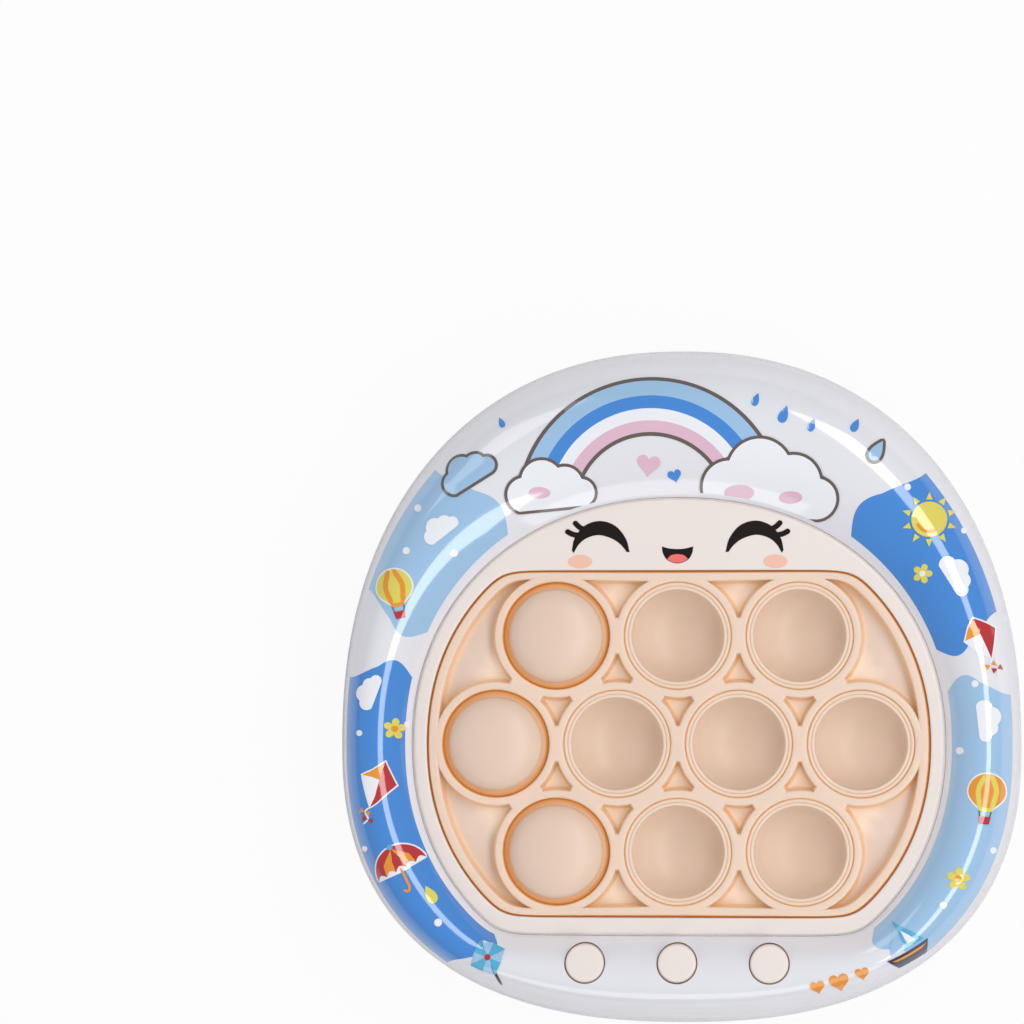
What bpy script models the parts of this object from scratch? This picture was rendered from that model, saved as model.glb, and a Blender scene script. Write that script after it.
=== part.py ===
"""Handheld electronic bubble pop game, as the separate pieces that it is put together from.

Metres, +Z up. The toy lies on its back with its face up, and its forehead points towards +Y.
"""

import math

import bmesh
import bpy
from mathutils import Matrix, Vector
from mathutils.geometry import delaunay_2d_cdt

# Running gaps and overruns
GAP = 0.0003
SHEET_GAP = 0.0005
OVERRUN = 0.002

# Bubble grid
BORE_RADIUS = 0.01255
RING_WALL = 0.0019
BUBBLE_WEB = 0.0033
ROW_SHARE = 0.8873
ROW_COUNTS = (3, 4, 3)
RING_RADIUS = BORE_RADIUS + RING_WALL
PITCH_X = 2 * BORE_RADIUS + BUBBLE_WEB
PITCH_Y = PITCH_X * ROW_SHARE
OUTER_BUBBLE_X = PITCH_X * (max(ROW_COUNTS) - 1) / 2

# Opening round the grid
OPENING_SIDE_MARGIN = 0.00175
OPENING_ROW_MARGIN = 0.0008
OPENING_CURVE = 0.01305
OPENING_WIDTH = 2 * (OUTER_BUBBLE_X + RING_RADIUS + OPENING_SIDE_MARGIN)
OPENING_FLAT = PITCH_Y + RING_RADIUS + OPENING_ROW_MARGIN
OPENING_HALF_LENGTH = OPENING_FLAT + OPENING_CURVE

# Bezel round the opening
BEZEL_SIDE = 0.0032
BEZEL_BROW = 0.0037
BEZEL_CHIN = 0.00395
BEZEL_WIDTH = OPENING_WIDTH + 2 * BEZEL_SIDE
BEZEL_HALF_LENGTH = OPENING_HALF_LENGTH + BEZEL_BROW
BEZEL_BOTTOM = OPENING_FLAT + BEZEL_CHIN
OVAL_POWER = 2.14
CORNER_POWER = 40
BEZEL_TOP_Z = 0.034
BEZEL_DEPTH = 0.0052
BEZEL_WALL = 0.0014
BEZEL_SKIN = 0.002
BEZEL_EDGE = 0.0008
BEZEL_RIB_SHARE = 0.4
BEZEL_FLANGE = 0.0024
FLANGE_DEPTH = 0.0014

# Case round the bezel
CROWN_SIDE = 0.018
CROWN_BROW = 0.0353
CROWN_CHIN = 0.0211
CASE_WIDTH = BEZEL_WIDTH + 2 * CROWN_SIDE
CASE_UPPER_LENGTH = BEZEL_HALF_LENGTH + CROWN_BROW
CASE_LOWER_LENGTH = BEZEL_BOTTOM + CROWN_CHIN
CASE_UPPER_POWER = 2.23
CASE_LOWER_POWER = 2.4
CENTRE_Y = (CASE_LOWER_LENGTH - CASE_UPPER_LENGTH) / 2
CREST_Z = 0.040
SPLIT_Z = 0.018
EDGE_DROP = 0.0062
WALL = 0.002
SKIRT_WALL = 0.0012
SKIRT_DEPTH = 0.0030
REAR_INSET = 0.020
CROWN_POWER = 2.2
CREST_SHARE = 0.5
CROWN_SHARES = (0, 0.012, 0.06, 0.18, 0.34, 0.5, 0.66, 0.84, 1)
LINING_SHARES = (0, 0.05, 0.22, 0.5, 0.76, 0.96)
REAR_STEPS = 4
RAYS = 60

# Bubble sheet
SHEET_THICKNESS = 0.0012
LIP_WIDTH = 0.0021
FACETS = 24
ROUND_FACETS = 16

# Bubbles
BUBBLE_WALL = 0.0012
BUBBLE_RISE = 0.0075
DOME_INSET = 0.00165
DOME_RADIUS = BORE_RADIUS - DOME_INSET
DOME_POWER = 2.3
DOME_STEPS = 3
DOME_FACETS = 18
MEMBRANE_DEPTH = 0.0030
BUBBLE_GAP = 0.00035
RAISED_BUBBLES = (1, 4, 8)

# Push board
PUSH_TRAVEL = 0.003
FRAME_THICKNESS = 0.002
FRAME_LEDGE = 0.0022
FRAME_HOLE_GAP = 0.00015
FRAME_HOLE_RADIUS = BORE_RADIUS + FRAME_HOLE_GAP
GUIDE_ANGLE = 24.07
GUIDE_INSET = 0.0023
GUIDE_RADIUS = 0.0019
GUIDE_LENGTH = 0.0175
TUBE_RADIUS = 0.004
TUBE_HEIGHT = 0.015
TUBE_CLEARANCE = 0.0004
SPRING_RADIUS = 0.0030
SPRING_WIRE = 0.0007
SPRING_TURNS = 4
TURN_POINTS = 8

# Lit bubble switches
SWITCH_BASE_RADIUS = 0.005
SWITCH_BASE_HEIGHT = 0.0025
SWITCH_CAP_RADIUS = 0.0035
SWITCH_CAP_ROUND = 0.0008
SWITCH_CLEARANCE = 0.0008

# Buttons
BUTTON_GAP = 0.0064
BUTTON_DROP = BEZEL_BOTTOM + BUTTON_GAP
BUTTON_PITCH = 0.0214
BUTTON_RADIUS = 0.00445
BUTTON_PROUD = 0.0007
BUTTON_ROUND = 0.0005
BUTTON_SKIRT = 0.0078
BUTTON_TRAVEL = 0.0008
STEM_RADIUS = 0.002
WING_SPAN = 0.014
WING_WIDTH = 0.004
WING_THICKNESS = 0.0007
KEY_SIZE = 0.006
KEY_HEIGHT = 0.0034
KEY_INSET = 0.0014
KEY_PLUNGER = 0.0008

# Main board
BOARD_Z = 0.0104
BOARD_THICKNESS = 0.0016
BOARD_SIDE_MARGIN = 0.0004
BOARD_TOP_MARGIN = 0.0060
BOARD_KEY_MARGIN = 0.0047
BOARD_CURVE = 0.0065
BOARD_WIDTH = 2 * (OUTER_BUBBLE_X + SWITCH_BASE_RADIUS + BOARD_SIDE_MARGIN)
BOARD_TOP = PITCH_Y + SWITCH_BASE_RADIUS + BOARD_TOP_MARGIN
BOARD_BOTTOM = BUTTON_DROP + BOARD_KEY_MARGIN
BOARD_HALF_LENGTH = BOARD_BOTTOM + BOARD_CURVE
BOARD_POWER = 2.6
STANDOFF_RADIUS = 0.003
BOARD_SCREW_SHARE = 1 / 3
CHIP_SIZE = 0.009
CHIP_HEIGHT = 0.0014
CHIP_RISE = 0.0073

# Case screws
SCREW_LOWER_ANGLE = -34.7
SCREW_UPPER_ANGLE = 48.5
SCREW_HEAD_RADIUS = 0.003
SCREW_HEAD_HEIGHT = 0.0018
SCREW_SHANK_RADIUS = 0.0013
SCREW_LENGTH = 0.020
SCREW_SEAT_Z = 0.010
BOSS_WALL = 0.0015
SCREW_FACETS = 12

# Small screws
SMALL_HEAD_RADIUS = 0.0024
SMALL_HEAD_HEIGHT = 0.0012
SMALL_SHANK_RADIUS = 0.001
SMALL_LENGTH = 0.006

# Speaker
SPEAKER_RISE = 0.0340
SPEAKER_DROP = CASE_LOWER_LENGTH - SPEAKER_RISE
SPEAKER_RADIUS = 0.014
SPEAKER_RIM = 0.0012
SPEAKER_BASKET = 0.0030
SPEAKER_MAGNET_RADIUS = 0.008
SPEAKER_HEIGHT = 0.005
COLLAR_WALL = 0.0012
COLLAR_HEIGHT = 0.0025
SLOT_COUNT = 5
SLOT_WIDTH = 0.0018
SLOT_PITCH = 0.0040
SLOT_RADIUS = 0.011

# Batteries
CELL_LENGTH = 0.0445
CELL_RADIUS = 0.00525
CELL_ROUND = 0.0004
NUB_RADIUS = 0.0019
NUB_LENGTH = 0.001
CELL_PITCH = 0.0108
CELL_COUNT = 3
CONTACT_ROOM = 0.0026
CONTACT_THICKNESS = 0.0005
CONTACT_HEIGHT = 0.007
CONTACT_WIDTH = 0.008
CONTACT_BUMP_RADIUS = 0.0022
BOX_WALL = 0.0022
BOX_ROOF = 0.0017
BOX_CLEARANCE = 0.0001
BOX_LOW = PITCH_Y + BORE_RADIUS - BUBBLE_GAP + BOX_CLEARANCE + BOX_WALL
CELL_MID = BOX_LOW + GAP + CELL_RADIUS + CELL_PITCH
DOOR_LEDGE = 0.0012
DOOR_THICKNESS = 0.0017
DOOR_EAR_RADIUS = 0.0045
DOOR_EAR_REACH = 0.0020
DOOR_BOSS_WALL = 0.0014
DOOR_BOSS_HEIGHT = 0.0065

# Feet
FOOT_RADIUS = 0.005
FOOT_PROUD = 0.001
FOOT_RECESS = 0.0007
FOOT_ROUND = 0.0004
FOOT_UPPER_WIDTH_SHARE = 0.25
FOOT_UPPER_LENGTH_SHARE = 0.5027
FOOT_LOWER_WIDTH_SHARE = 0.23125
FOOT_LOWER_LENGTH_SHARE = 0.4962

# Leads, as points from the speaker's centre or the battery box's wall, and from the board's underside
LEAD_RADIUS = 0.0008
LEAD_STEPS = 2
SPEAKER_LEAD_POINTS = (
    (0.0105, 0.0000, -0.0030),
    (0.0120, -0.0002, -0.0026),
    (0.0136, -0.0008, -0.0024),
    (0.0152, -0.0016, -0.0021),
    (0.0164, -0.0026, -0.0015),
    (0.0170, -0.0034, -0.0004),
)
BATTERY_LEAD_POINTS = (
    (-0.0200, -0.0027, -0.0039),
    (-0.0200, -0.0044, -0.0038),
    (-0.0202, -0.0060, -0.0036),
    (-0.0206, -0.0074, -0.0030),
    (-0.0210, -0.0084, -0.0020),
    (-0.0212, -0.0088, -0.0004),
)

# Derived levels
REAR_Z = FOOT_PROUD
FLOOR_Z = REAR_Z + WALL
FRONT_Z = SPLIT_Z + GAP
SHELL_EDGE_Z = CREST_Z - EDGE_DROP
SKIRT_Z = SHELL_EDGE_Z - SKIRT_DEPTH
BEZEL_BOTTOM_Z = BEZEL_TOP_Z - BEZEL_DEPTH
FRAME_TOP_Z = BEZEL_BOTTOM_Z - GAP
FRAME_Z = FRAME_TOP_Z - FRAME_THICKNESS
MEMBRANE_Z = BEZEL_TOP_Z - MEMBRANE_DEPTH
BOARD_TOP_Z = BOARD_Z + BOARD_THICKNESS
SWITCH_Z = BOARD_TOP_Z + GAP
SWITCH_TOP_Z = MEMBRANE_Z - BUBBLE_RISE - PUSH_TRAVEL - SWITCH_CLEARANCE
CELL_Z = REAR_Z + DOOR_THICKNESS + GAP + CELL_RADIUS
BOX_HALF_LENGTH = CELL_LENGTH / 2 + CONTACT_ROOM
BOX_LOW_Y = CENTRE_Y + BOX_LOW
BOX_HIGH_Y = BOX_LOW_Y + 2 * (CELL_PITCH + CELL_RADIUS + GAP)
BOX_ROOF_Z = CELL_Z + CELL_RADIUS + GAP
EAR_Y = BOX_LOW_Y - DOOR_LEDGE - DOOR_EAR_REACH


# Outlines round the common centre


def superellipse(angle, half_width, half_length, power):
    """Distance from the centre to a superellipse, along the ray at an angle."""
    across = abs(math.cos(angle) / half_width) ** power
    along = abs(math.sin(angle) / half_length) ** power
    return (across + along) ** (-1 / power)


def capped_oval(angle, half_width, half_length, power, upper_flat, lower_flat):
    """Distance to an oval that straight edges cut off above and below, with rounded corners."""
    oval = superellipse(angle, half_width, half_length, power)
    flat = upper_flat if math.sin(angle) > 0 else lower_flat
    pull = oval ** -CORNER_POWER + (abs(math.sin(angle)) / flat) ** CORNER_POWER
    return pull ** (-1 / CORNER_POWER)


def case_radius(angle):
    """Outline of the case."""
    if math.sin(angle) > 0:
        return superellipse(angle, CASE_WIDTH / 2, CASE_UPPER_LENGTH, CASE_UPPER_POWER)
    return superellipse(angle, CASE_WIDTH / 2, CASE_LOWER_LENGTH, CASE_LOWER_POWER)


def bezel_radius(angle):
    """Outer outline of the bezel."""
    return capped_oval(angle, BEZEL_WIDTH / 2, BEZEL_HALF_LENGTH, OVAL_POWER, math.inf, BEZEL_BOTTOM)


def opening_radius(angle):
    """Opening of the bezel that the bubble sheet sits in."""
    half_width = OPENING_WIDTH / 2
    return capped_oval(angle, half_width, OPENING_HALF_LENGTH, OVAL_POWER, OPENING_FLAT, OPENING_FLAT)


def board_radius(angle):
    """Outline of the main board."""
    return capped_oval(angle, BOARD_WIDTH / 2, BOARD_HALF_LENGTH, BOARD_POWER, BOARD_TOP, BOARD_BOTTOM)


def rim_radius(angle):
    """Inner edge of the front shell, just outside the bezel."""
    return bezel_radius(angle) + GAP


def crown_height(share, crest):
    """Height of the front shell at a share of the way from its outer edge to its inner one."""
    if share < CREST_SHARE:
        lean = 1 - share / CREST_SHARE
        rise = (1 - lean**CROWN_POWER) ** (1 / CROWN_POWER)
        return FRONT_Z + rise * (crest - FRONT_Z)
    fall = (share - CREST_SHARE) / (1 - CREST_SHARE)
    return crest - EDGE_DROP * fall**2


def place_on_crown(x, y):
    """Height of the front shell's surface over a point, with y counted from the centre."""
    angle = math.atan2(y, x)
    outer = case_radius(angle)
    share = (outer - math.hypot(x, y)) / (outer - rim_radius(angle))
    return crown_height(share, CREST_Z)


def ray_row(radius, height, rays=RAYS):
    """One closed row of points: a radius for each ray round the centre, all at one height."""
    row = []
    for step in range(rays):
        angle = 2 * math.pi * step / rays
        reach = radius(angle)
        row.append(Vector((reach * math.cos(angle), CENTRE_Y + reach * math.sin(angle), height)))
    return row


def widened(radius, extra):
    """The outline of another radius function, moved out by an extra width."""
    return lambda angle: radius(angle) + extra


def mixed(outer, inner, share):
    """The outline at a share of the way from an outer to an inner one."""
    return lambda angle: outer(angle) + (inner(angle) - outer(angle)) * share


# Meshes


def skin_rows(rows, closed):
    """Mesh through rows of equally many points: a closed loop of rows, or one with both ends capped."""
    mesh = bmesh.new()
    rings = [[mesh.verts.new(point) for point in row] for row in rows]
    pairs = list(zip(rings, rings[1:]))
    if closed:
        pairs.append((rings[-1], rings[0]))
    else:
        mesh.faces.new(rings[0])
        mesh.faces.new(rings[-1])
    for lower, upper in pairs:
        for index in range(len(lower)):
            following = (index + 1) % len(lower)
            mesh.faces.new((lower[index], lower[following], upper[following], upper[index]))
    bmesh.ops.recalc_face_normals(mesh, faces=mesh.faces)
    return mesh


def turn_profile(profile, facets, closed=False):
    """Mesh turned round Z from points of radius and height, whose two ends lie on the axis unless closed."""
    mesh = bmesh.new()
    rings = []
    for radius, height in profile:
        if radius == 0:
            rings.append([mesh.verts.new((0, 0, height))] * facets)
            continue
        ring = []
        for step in range(facets):
            angle = 2 * math.pi * step / facets
            ring.append(mesh.verts.new((radius * math.cos(angle), radius * math.sin(angle), height)))
        rings.append(ring)
    pairs = list(zip(rings, rings[1:]))
    if closed:
        pairs.append((rings[-1], rings[0]))
    for lower, upper in pairs:
        for index in range(facets):
            following = (index + 1) % facets
            corners = [lower[index], lower[following], upper[following], upper[index]]
            mesh.faces.new(list(dict.fromkeys(corners)))
    bmesh.ops.recalc_face_normals(mesh, faces=mesh.faces)
    return mesh


def rod(radius, low, high, facets=ROUND_FACETS):
    """Plain round rod round Z between two heights."""
    return turn_profile(((0, low), (radius, low), (radius, high), (0, high)), facets)


def block(low, high):
    """Box between its lowest and highest corners."""
    low = Vector(low)
    high = Vector(high)
    mesh = bmesh.new()
    bmesh.ops.create_cube(mesh, size=1)
    bmesh.ops.scale(mesh, vec=high - low, verts=mesh.verts)
    bmesh.ops.translate(mesh, vec=(low + high) / 2, verts=mesh.verts)
    return mesh


def moved(mesh, x, y, z=0.0):
    """The same mesh, moved."""
    bmesh.ops.translate(mesh, vec=(x, y, z), verts=mesh.verts)
    return mesh


def joined(meshes):
    """Several separate meshes as one."""
    whole = bmesh.new()
    for mesh in meshes:
        part = bpy.data.meshes.new("part")
        mesh.to_mesh(part)
        mesh.free()
        whole.from_mesh(part)
        bpy.data.meshes.remove(part)
    return whole


# Objects


def finish(name, colour, roughness, metallic=0.0):
    """Material of one plain colour."""
    material = bpy.data.materials.new(name)
    material.use_nodes = True
    shader = material.node_tree.nodes["Principled BSDF"]
    shader.inputs["Base Color"].default_value = (*colour, 1)
    shader.inputs["Roughness"].default_value = roughness
    shader.inputs["Metallic"].default_value = metallic
    return material


def add_piece(name, mesh, material, place=(0, 0, 0)):
    """Object of one piece, its origin at its place."""
    data = bpy.data.meshes.new(name)
    mesh.to_mesh(data)
    mesh.free()
    data.shade_smooth()
    data.set_sharp_from_angle(angle=math.radians(30))
    data.materials.append(material)
    piece = bpy.data.objects.new(name, data)
    piece.location = place
    bpy.context.collection.objects.link(piece)
    return piece


def add_guide(name, mesh):
    """Hidden object that only cuts or joins others."""
    data = bpy.data.meshes.new(name)
    mesh.to_mesh(data)
    mesh.free()
    guide = bpy.data.objects.new(name, data)
    guide.hide_render = True
    guide.display_type = "WIRE"
    bpy.context.collection.objects.link(guide)
    return guide


def combine(piece, operation, guide):
    """Boolean of a piece with a guide."""
    modifier = piece.modifiers.new(guide.name, "BOOLEAN")
    modifier.operation = operation
    modifier.solver = "EXACT"
    modifier.object = guide


# Places that several pieces share


def bubble_places():
    """Centres of the bubbles, row by row from the upper left."""
    places = []
    for row, count in enumerate(ROW_COUNTS):
        for column in range(count):
            x = (column - (count - 1) / 2) * PITCH_X
            places.append((x, CENTRE_Y + (1 - row) * PITCH_Y))
    return places


def mirrored_pair(x, y):
    """Left and right places at one distance from the middle, with y counted from the centre."""
    return [(-x, CENTRE_Y + y), (x, CENTRE_Y + y)]


def screw_places():
    """Case screws, under the crest of the ring at two angles on each side."""
    places = []
    for degrees in (SCREW_UPPER_ANGLE, SCREW_LOWER_ANGLE):
        angle = math.radians(degrees)
        reach = mixed(case_radius, rim_radius, CREST_SHARE)(angle)
        places += mirrored_pair(reach * math.cos(angle), reach * math.sin(angle))
    return places


def guide_places():
    """Guide pins of the push board, just inside the opening."""
    angle = math.radians(GUIDE_ANGLE)
    reach = opening_radius(angle) - GUIDE_INSET
    x = reach * math.cos(angle)
    y = reach * math.sin(angle)
    return mirrored_pair(x, y) + mirrored_pair(x, -y)


def board_screw_places():
    """Screws of the main board, in the triangles between the first two rows of bubbles."""
    return mirrored_pair(PITCH_X, PITCH_Y * BOARD_SCREW_SHARE)


def foot_places():
    """Rubber feet, on the flat of the bowl."""
    upper = mirrored_pair(CASE_WIDTH * FOOT_UPPER_WIDTH_SHARE, CASE_UPPER_LENGTH * FOOT_UPPER_LENGTH_SHARE)
    lower = mirrored_pair(CASE_WIDTH * FOOT_LOWER_WIDTH_SHARE, -CASE_LOWER_LENGTH * FOOT_LOWER_LENGTH_SHARE)
    return upper + lower


def button_places():
    """Buttons, from the left."""
    return [(step * BUTTON_PITCH, CENTRE_Y - BUTTON_DROP) for step in (-1, 0, 1)]


def cell_places():
    """Middle of each cell, from the bubbles outwards."""
    middle = (CELL_COUNT - 1) / 2
    return [CENTRE_Y + CELL_MID + (index - middle) * CELL_PITCH for index in range(CELL_COUNT)]


# Case


def rear_rows(skin):
    """Rows of the rear bowl, from its bottom to the split, at a depth inside its outer surface."""
    rows = []
    for step in range(REAR_STEPS + 1):
        turn = math.pi / 2 * (1 - step / REAR_STEPS)
        inset = skin + (REAR_INSET - skin) * (1 - math.cos(turn))
        height = SPLIT_Z - (SPLIT_Z - REAR_Z - skin) * math.sin(turn)
        rows.append(ray_row(widened(case_radius, -inset), height))
    return rows


def add_rear_shell(material):
    """Bowl with its bosses, battery box and speaker collar, all rising from its wall."""
    shell = add_piece("rear_shell", skin_rows(rear_rows(0) + rear_rows(WALL)[::-1], closed=False), material)
    filled = rear_rows(WALL / 2)
    filled.append(ray_row(widened(case_radius, -WALL / 2), SPLIT_Z + OVERRUN))
    core = add_guide("rear_core", skin_rows(filled, closed=False))
    boss_radius = SCREW_HEAD_RADIUS + GAP + BOSS_WALL
    standoff_top = BOARD_Z - GAP
    posts = [moved(rod(boss_radius, 0, SPLIT_Z), x, y) for x, y in screw_places()]
    posts += [moved(rod(TUBE_RADIUS, 0, TUBE_HEIGHT), x, y) for x, y in guide_places()]
    posts += [moved(rod(STANDOFF_RADIUS, 0, standoff_top), x, y) for x, y in board_screw_places()]
    collar_radius = SPEAKER_RADIUS + GAP
    collar = (
        (collar_radius, FLOOR_Z - WALL / 2),
        (collar_radius + COLLAR_WALL, FLOOR_Z - WALL / 2),
        (collar_radius + COLLAR_WALL, FLOOR_Z + COLLAR_HEIGHT),
        (collar_radius, FLOOR_Z + COLLAR_HEIGHT),
    )
    posts.append(moved(turn_profile(collar, FACETS, closed=True), 0, CENTRE_Y - SPEAKER_DROP))
    box_half = BOX_HALF_LENGTH + BOX_WALL
    box_low = (-box_half, BOX_LOW_Y - BOX_WALL, 0)
    box_high = (box_half, BOX_HIGH_Y + BOX_WALL, BOX_ROOF_Z + BOX_ROOF)
    box = block(box_low, box_high)
    ear_boss = moved(rod(DOOR_EAR_RADIUS + GAP + DOOR_BOSS_WALL, 0, FLOOR_Z + DOOR_BOSS_HEIGHT), 0, EAR_Y)
    for name, mesh in (("posts", joined(posts)), ("battery_box", box), ("ear_boss", ear_boss)):
        guide = add_guide(name, mesh)
        combine(guide, "INTERSECT", core)
        combine(shell, "UNION", guide)
    for name, mesh in rear_cutters():
        combine(shell, "DIFFERENCE", add_guide(name, mesh))


def rear_cutters():
    """Everything that is cut from the rear shell."""
    seat_radius = SCREW_HEAD_RADIUS + GAP
    bore_radius = SCREW_SHANK_RADIUS + GAP
    screw_hole = (
        (0, -OVERRUN),
        (seat_radius, -OVERRUN),
        (seat_radius, SCREW_SEAT_Z),
        (bore_radius, SCREW_SEAT_Z),
        (bore_radius, SPLIT_Z + OVERRUN),
        (0, SPLIT_Z + OVERRUN),
    )
    pilot_radius = SMALL_SHANK_RADIUS + GAP
    guide_bore = GUIDE_RADIUS + TUBE_CLEARANCE
    foot_hole = FOOT_RADIUS + GAP
    cuts = [moved(turn_profile(screw_hole, ROUND_FACETS), x, y) for x, y in screw_places()]
    cuts += [moved(rod(guide_bore, FLOOR_Z, TUBE_HEIGHT + OVERRUN), x, y) for x, y in guide_places()]
    cuts += [moved(rod(pilot_radius, FLOOR_Z, BOARD_Z), x, y) for x, y in board_screw_places()]
    cuts += [moved(rod(foot_hole, -OVERRUN, REAR_Z + FOOT_RECESS), x, y) for x, y in foot_places()]
    for index in range(SLOT_COUNT):
        offset = (index - (SLOT_COUNT - 1) / 2) * SLOT_PITCH
        half = math.sqrt(SLOT_RADIUS**2 - offset**2)
        middle = CENTRE_Y - SPEAKER_DROP + offset
        low = (-half, middle - SLOT_WIDTH / 2, -OVERRUN)
        high = (half, middle + SLOT_WIDTH / 2, FLOOR_Z + OVERRUN)
        cuts.append(block(low, high))
    recess_top = REAR_Z + DOOR_THICKNESS + GAP / 2
    door_half = BOX_HALF_LENGTH + DOOR_LEDGE
    recess_low = (-door_half, BOX_LOW_Y - DOOR_LEDGE, -OVERRUN)
    recess = block(recess_low, (door_half, BOX_HIGH_Y + DOOR_LEDGE, recess_top))
    cavity_low = (-BOX_HALF_LENGTH, BOX_LOW_Y, -OVERRUN)
    cavity = block(cavity_low, (BOX_HALF_LENGTH, BOX_HIGH_Y, BOX_ROOF_Z))
    ear_radius = DOOR_EAR_RADIUS + GAP
    ear_hole = (
        (0, -OVERRUN),
        (ear_radius, -OVERRUN),
        (ear_radius, recess_top),
        (pilot_radius, recess_top),
        (pilot_radius, FLOOR_Z + DOOR_BOSS_HEIGHT - WALL / 2),
        (0, FLOOR_Z + DOOR_BOSS_HEIGHT - WALL / 2),
    )
    ear = moved(turn_profile(ear_hole, ROUND_FACETS), 0, EAR_Y)
    return (("door_recess", recess), ("cell_cavity", cavity), ("ear_hole", ear), ("holes", joined(cuts)))


def crown_rows(skin, skirt, shares):
    """Rows over the ring of the front shell, at a depth under its outer surface."""
    outer = widened(case_radius, -skin)
    inner = widened(rim_radius, skirt)
    rows = []
    for share in shares:
        outline = mixed(outer, inner, share)
        rows.append(ray_row(outline, crown_height(share, CREST_Z - skin)))
    return rows


def add_front_shell(material):
    """Ring shell with its skirt at the bezel, its bosses, and its three button holes."""
    rows = crown_rows(0, 0, CROWN_SHARES)
    rows.append(ray_row(rim_radius, SKIRT_Z))
    rows.append(ray_row(widened(rim_radius, SKIRT_WALL), SKIRT_Z))
    rows += crown_rows(WALL, SKIRT_WALL, LINING_SHARES)[::-1]
    shell = add_piece("front_shell", skin_rows(rows, closed=True), material)
    half = WALL / 2
    filled = crown_rows(half, SKIRT_WALL / 2, CROWN_SHARES)
    filled.append(ray_row(widened(rim_radius, SKIRT_WALL / 2), SPLIT_Z - OVERRUN))
    filled.append(ray_row(widened(case_radius, -half), SPLIT_Z - OVERRUN))
    core = add_guide("front_core", skin_rows(filled, closed=True))
    boss_radius = SCREW_HEAD_RADIUS + BOSS_WALL
    bosses = [moved(rod(boss_radius, FRONT_Z, CREST_Z), x, y) for x, y in screw_places()]
    guide = add_guide("front_bosses", joined(bosses))
    combine(guide, "INTERSECT", core)
    combine(shell, "UNION", guide)
    bore = SCREW_SHANK_RADIUS + GAP
    tip = SCREW_SEAT_Z + SCREW_LENGTH + OVERRUN
    cuts = [moved(rod(bore, SPLIT_Z, tip), x, y) for x, y in screw_places()]
    for x, y in button_places():
        cuts.append(moved(rod(BUTTON_RADIUS + GAP, SKIRT_Z, CREST_Z + OVERRUN), x, y))
    combine(shell, "DIFFERENCE", add_guide("front_holes", joined(cuts)))


def add_bezel(material):
    """Bezel round the bubble sheet, hollow underneath, with a flange that the shell's skirt holds down."""

    def rib(angle):
        return min(BEZEL_WALL, BEZEL_RIB_SHARE * (bezel_radius(angle) - opening_radius(angle)))

    flange_z = BEZEL_BOTTOM_Z + FLANGE_DEPTH
    rows = (
        ray_row(opening_radius, BEZEL_BOTTOM_Z),
        ray_row(opening_radius, BEZEL_TOP_Z - BEZEL_EDGE / 2),
        ray_row(widened(opening_radius, BEZEL_EDGE / 2), BEZEL_TOP_Z),
        ray_row(widened(bezel_radius, -BEZEL_EDGE), BEZEL_TOP_Z),
        ray_row(bezel_radius, BEZEL_TOP_Z - BEZEL_EDGE),
        ray_row(bezel_radius, flange_z),
        ray_row(widened(bezel_radius, BEZEL_FLANGE), flange_z),
        ray_row(widened(bezel_radius, BEZEL_FLANGE), BEZEL_BOTTOM_Z),
        ray_row(lambda angle: bezel_radius(angle) - rib(angle), BEZEL_BOTTOM_Z),
        ray_row(lambda angle: bezel_radius(angle) - rib(angle), BEZEL_TOP_Z - BEZEL_SKIN),
        ray_row(lambda angle: opening_radius(angle) + rib(angle), BEZEL_TOP_Z - BEZEL_SKIN),
        ray_row(lambda angle: opening_radius(angle) + rib(angle), BEZEL_BOTTOM_Z),
    )
    add_piece("face_bezel", skin_rows(rows, closed=True), material)


# Push board


def sheet_radius(angle):
    """Outline of the bubble sheet."""
    return opening_radius(angle) - SHEET_GAP


def sheet_plan():
    """Triangles of the sheet seen from above, each with its level: bore, pocket or raised."""
    inner = widened(sheet_radius, -LIP_WIDTH)
    loops = [[point.xy for point in ray_row(outline, 0)] for outline in (sheet_radius, inner)]
    for radius in (RING_RADIUS, BORE_RADIUS):
        for x, y in bubble_places():
            turns = [2 * math.pi * (step + 1 / 2) / FACETS for step in range(FACETS)]
            middle = Vector((x, y))
            loops.append([middle + radius * Vector((math.cos(turn), math.sin(turn))) for turn in turns])
    points = [point for loop in loops for point in loop]
    edges = []
    for loop in loops:
        first = len(edges)
        edges += [(first + index, first + (index + 1) % len(loop)) for index in range(len(loop))]
    corners, _, faces, *_ = delaunay_2d_cdt(points, edges, [], 1, SHEET_GAP / FACETS)
    levels = []
    for face in faces:
        middle = sum((corners[index] for index in face), Vector((0, 0))) / len(face)
        levels.append(sheet_level(middle.x, middle.y, inner))
    return corners, faces, levels


def sheet_level(x, y, inner):
    """Name of the level of the sheet at a point: bore, pocket, raised, or None outside it."""
    angle = math.atan2(y - CENTRE_Y, x)
    reach = math.hypot(x, y - CENTRE_Y)
    nearest = min(facet_distance(x - place[0], y - place[1]) for place in bubble_places())
    if nearest < BORE_RADIUS:
        return "bore"
    if reach > chord_distance(angle, sheet_radius):
        return None
    if nearest < RING_RADIUS or reach > chord_distance(angle, inner):
        return "raised"
    return "pocket"


def facet_distance(x, y):
    """Distance of a point from a ring's middle, counted to the corner circle of the facet it lies on."""
    turn = 2 * math.pi / FACETS
    offset = (math.atan2(y, x) + turn / 2) % turn - turn / 2
    return math.hypot(x, y) * math.cos(offset) / math.cos(turn / 2)


def chord_distance(angle, outline):
    """Distance to the straight edge between two rays of an outline."""
    step = 2 * math.pi / RAYS
    first = math.floor(angle / step) * step
    near, far = outline(first), outline(first + step)
    swept = near * far * math.sin(step)
    return swept / (near * math.sin(angle - first) + far * math.sin(first + step - angle))


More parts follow.
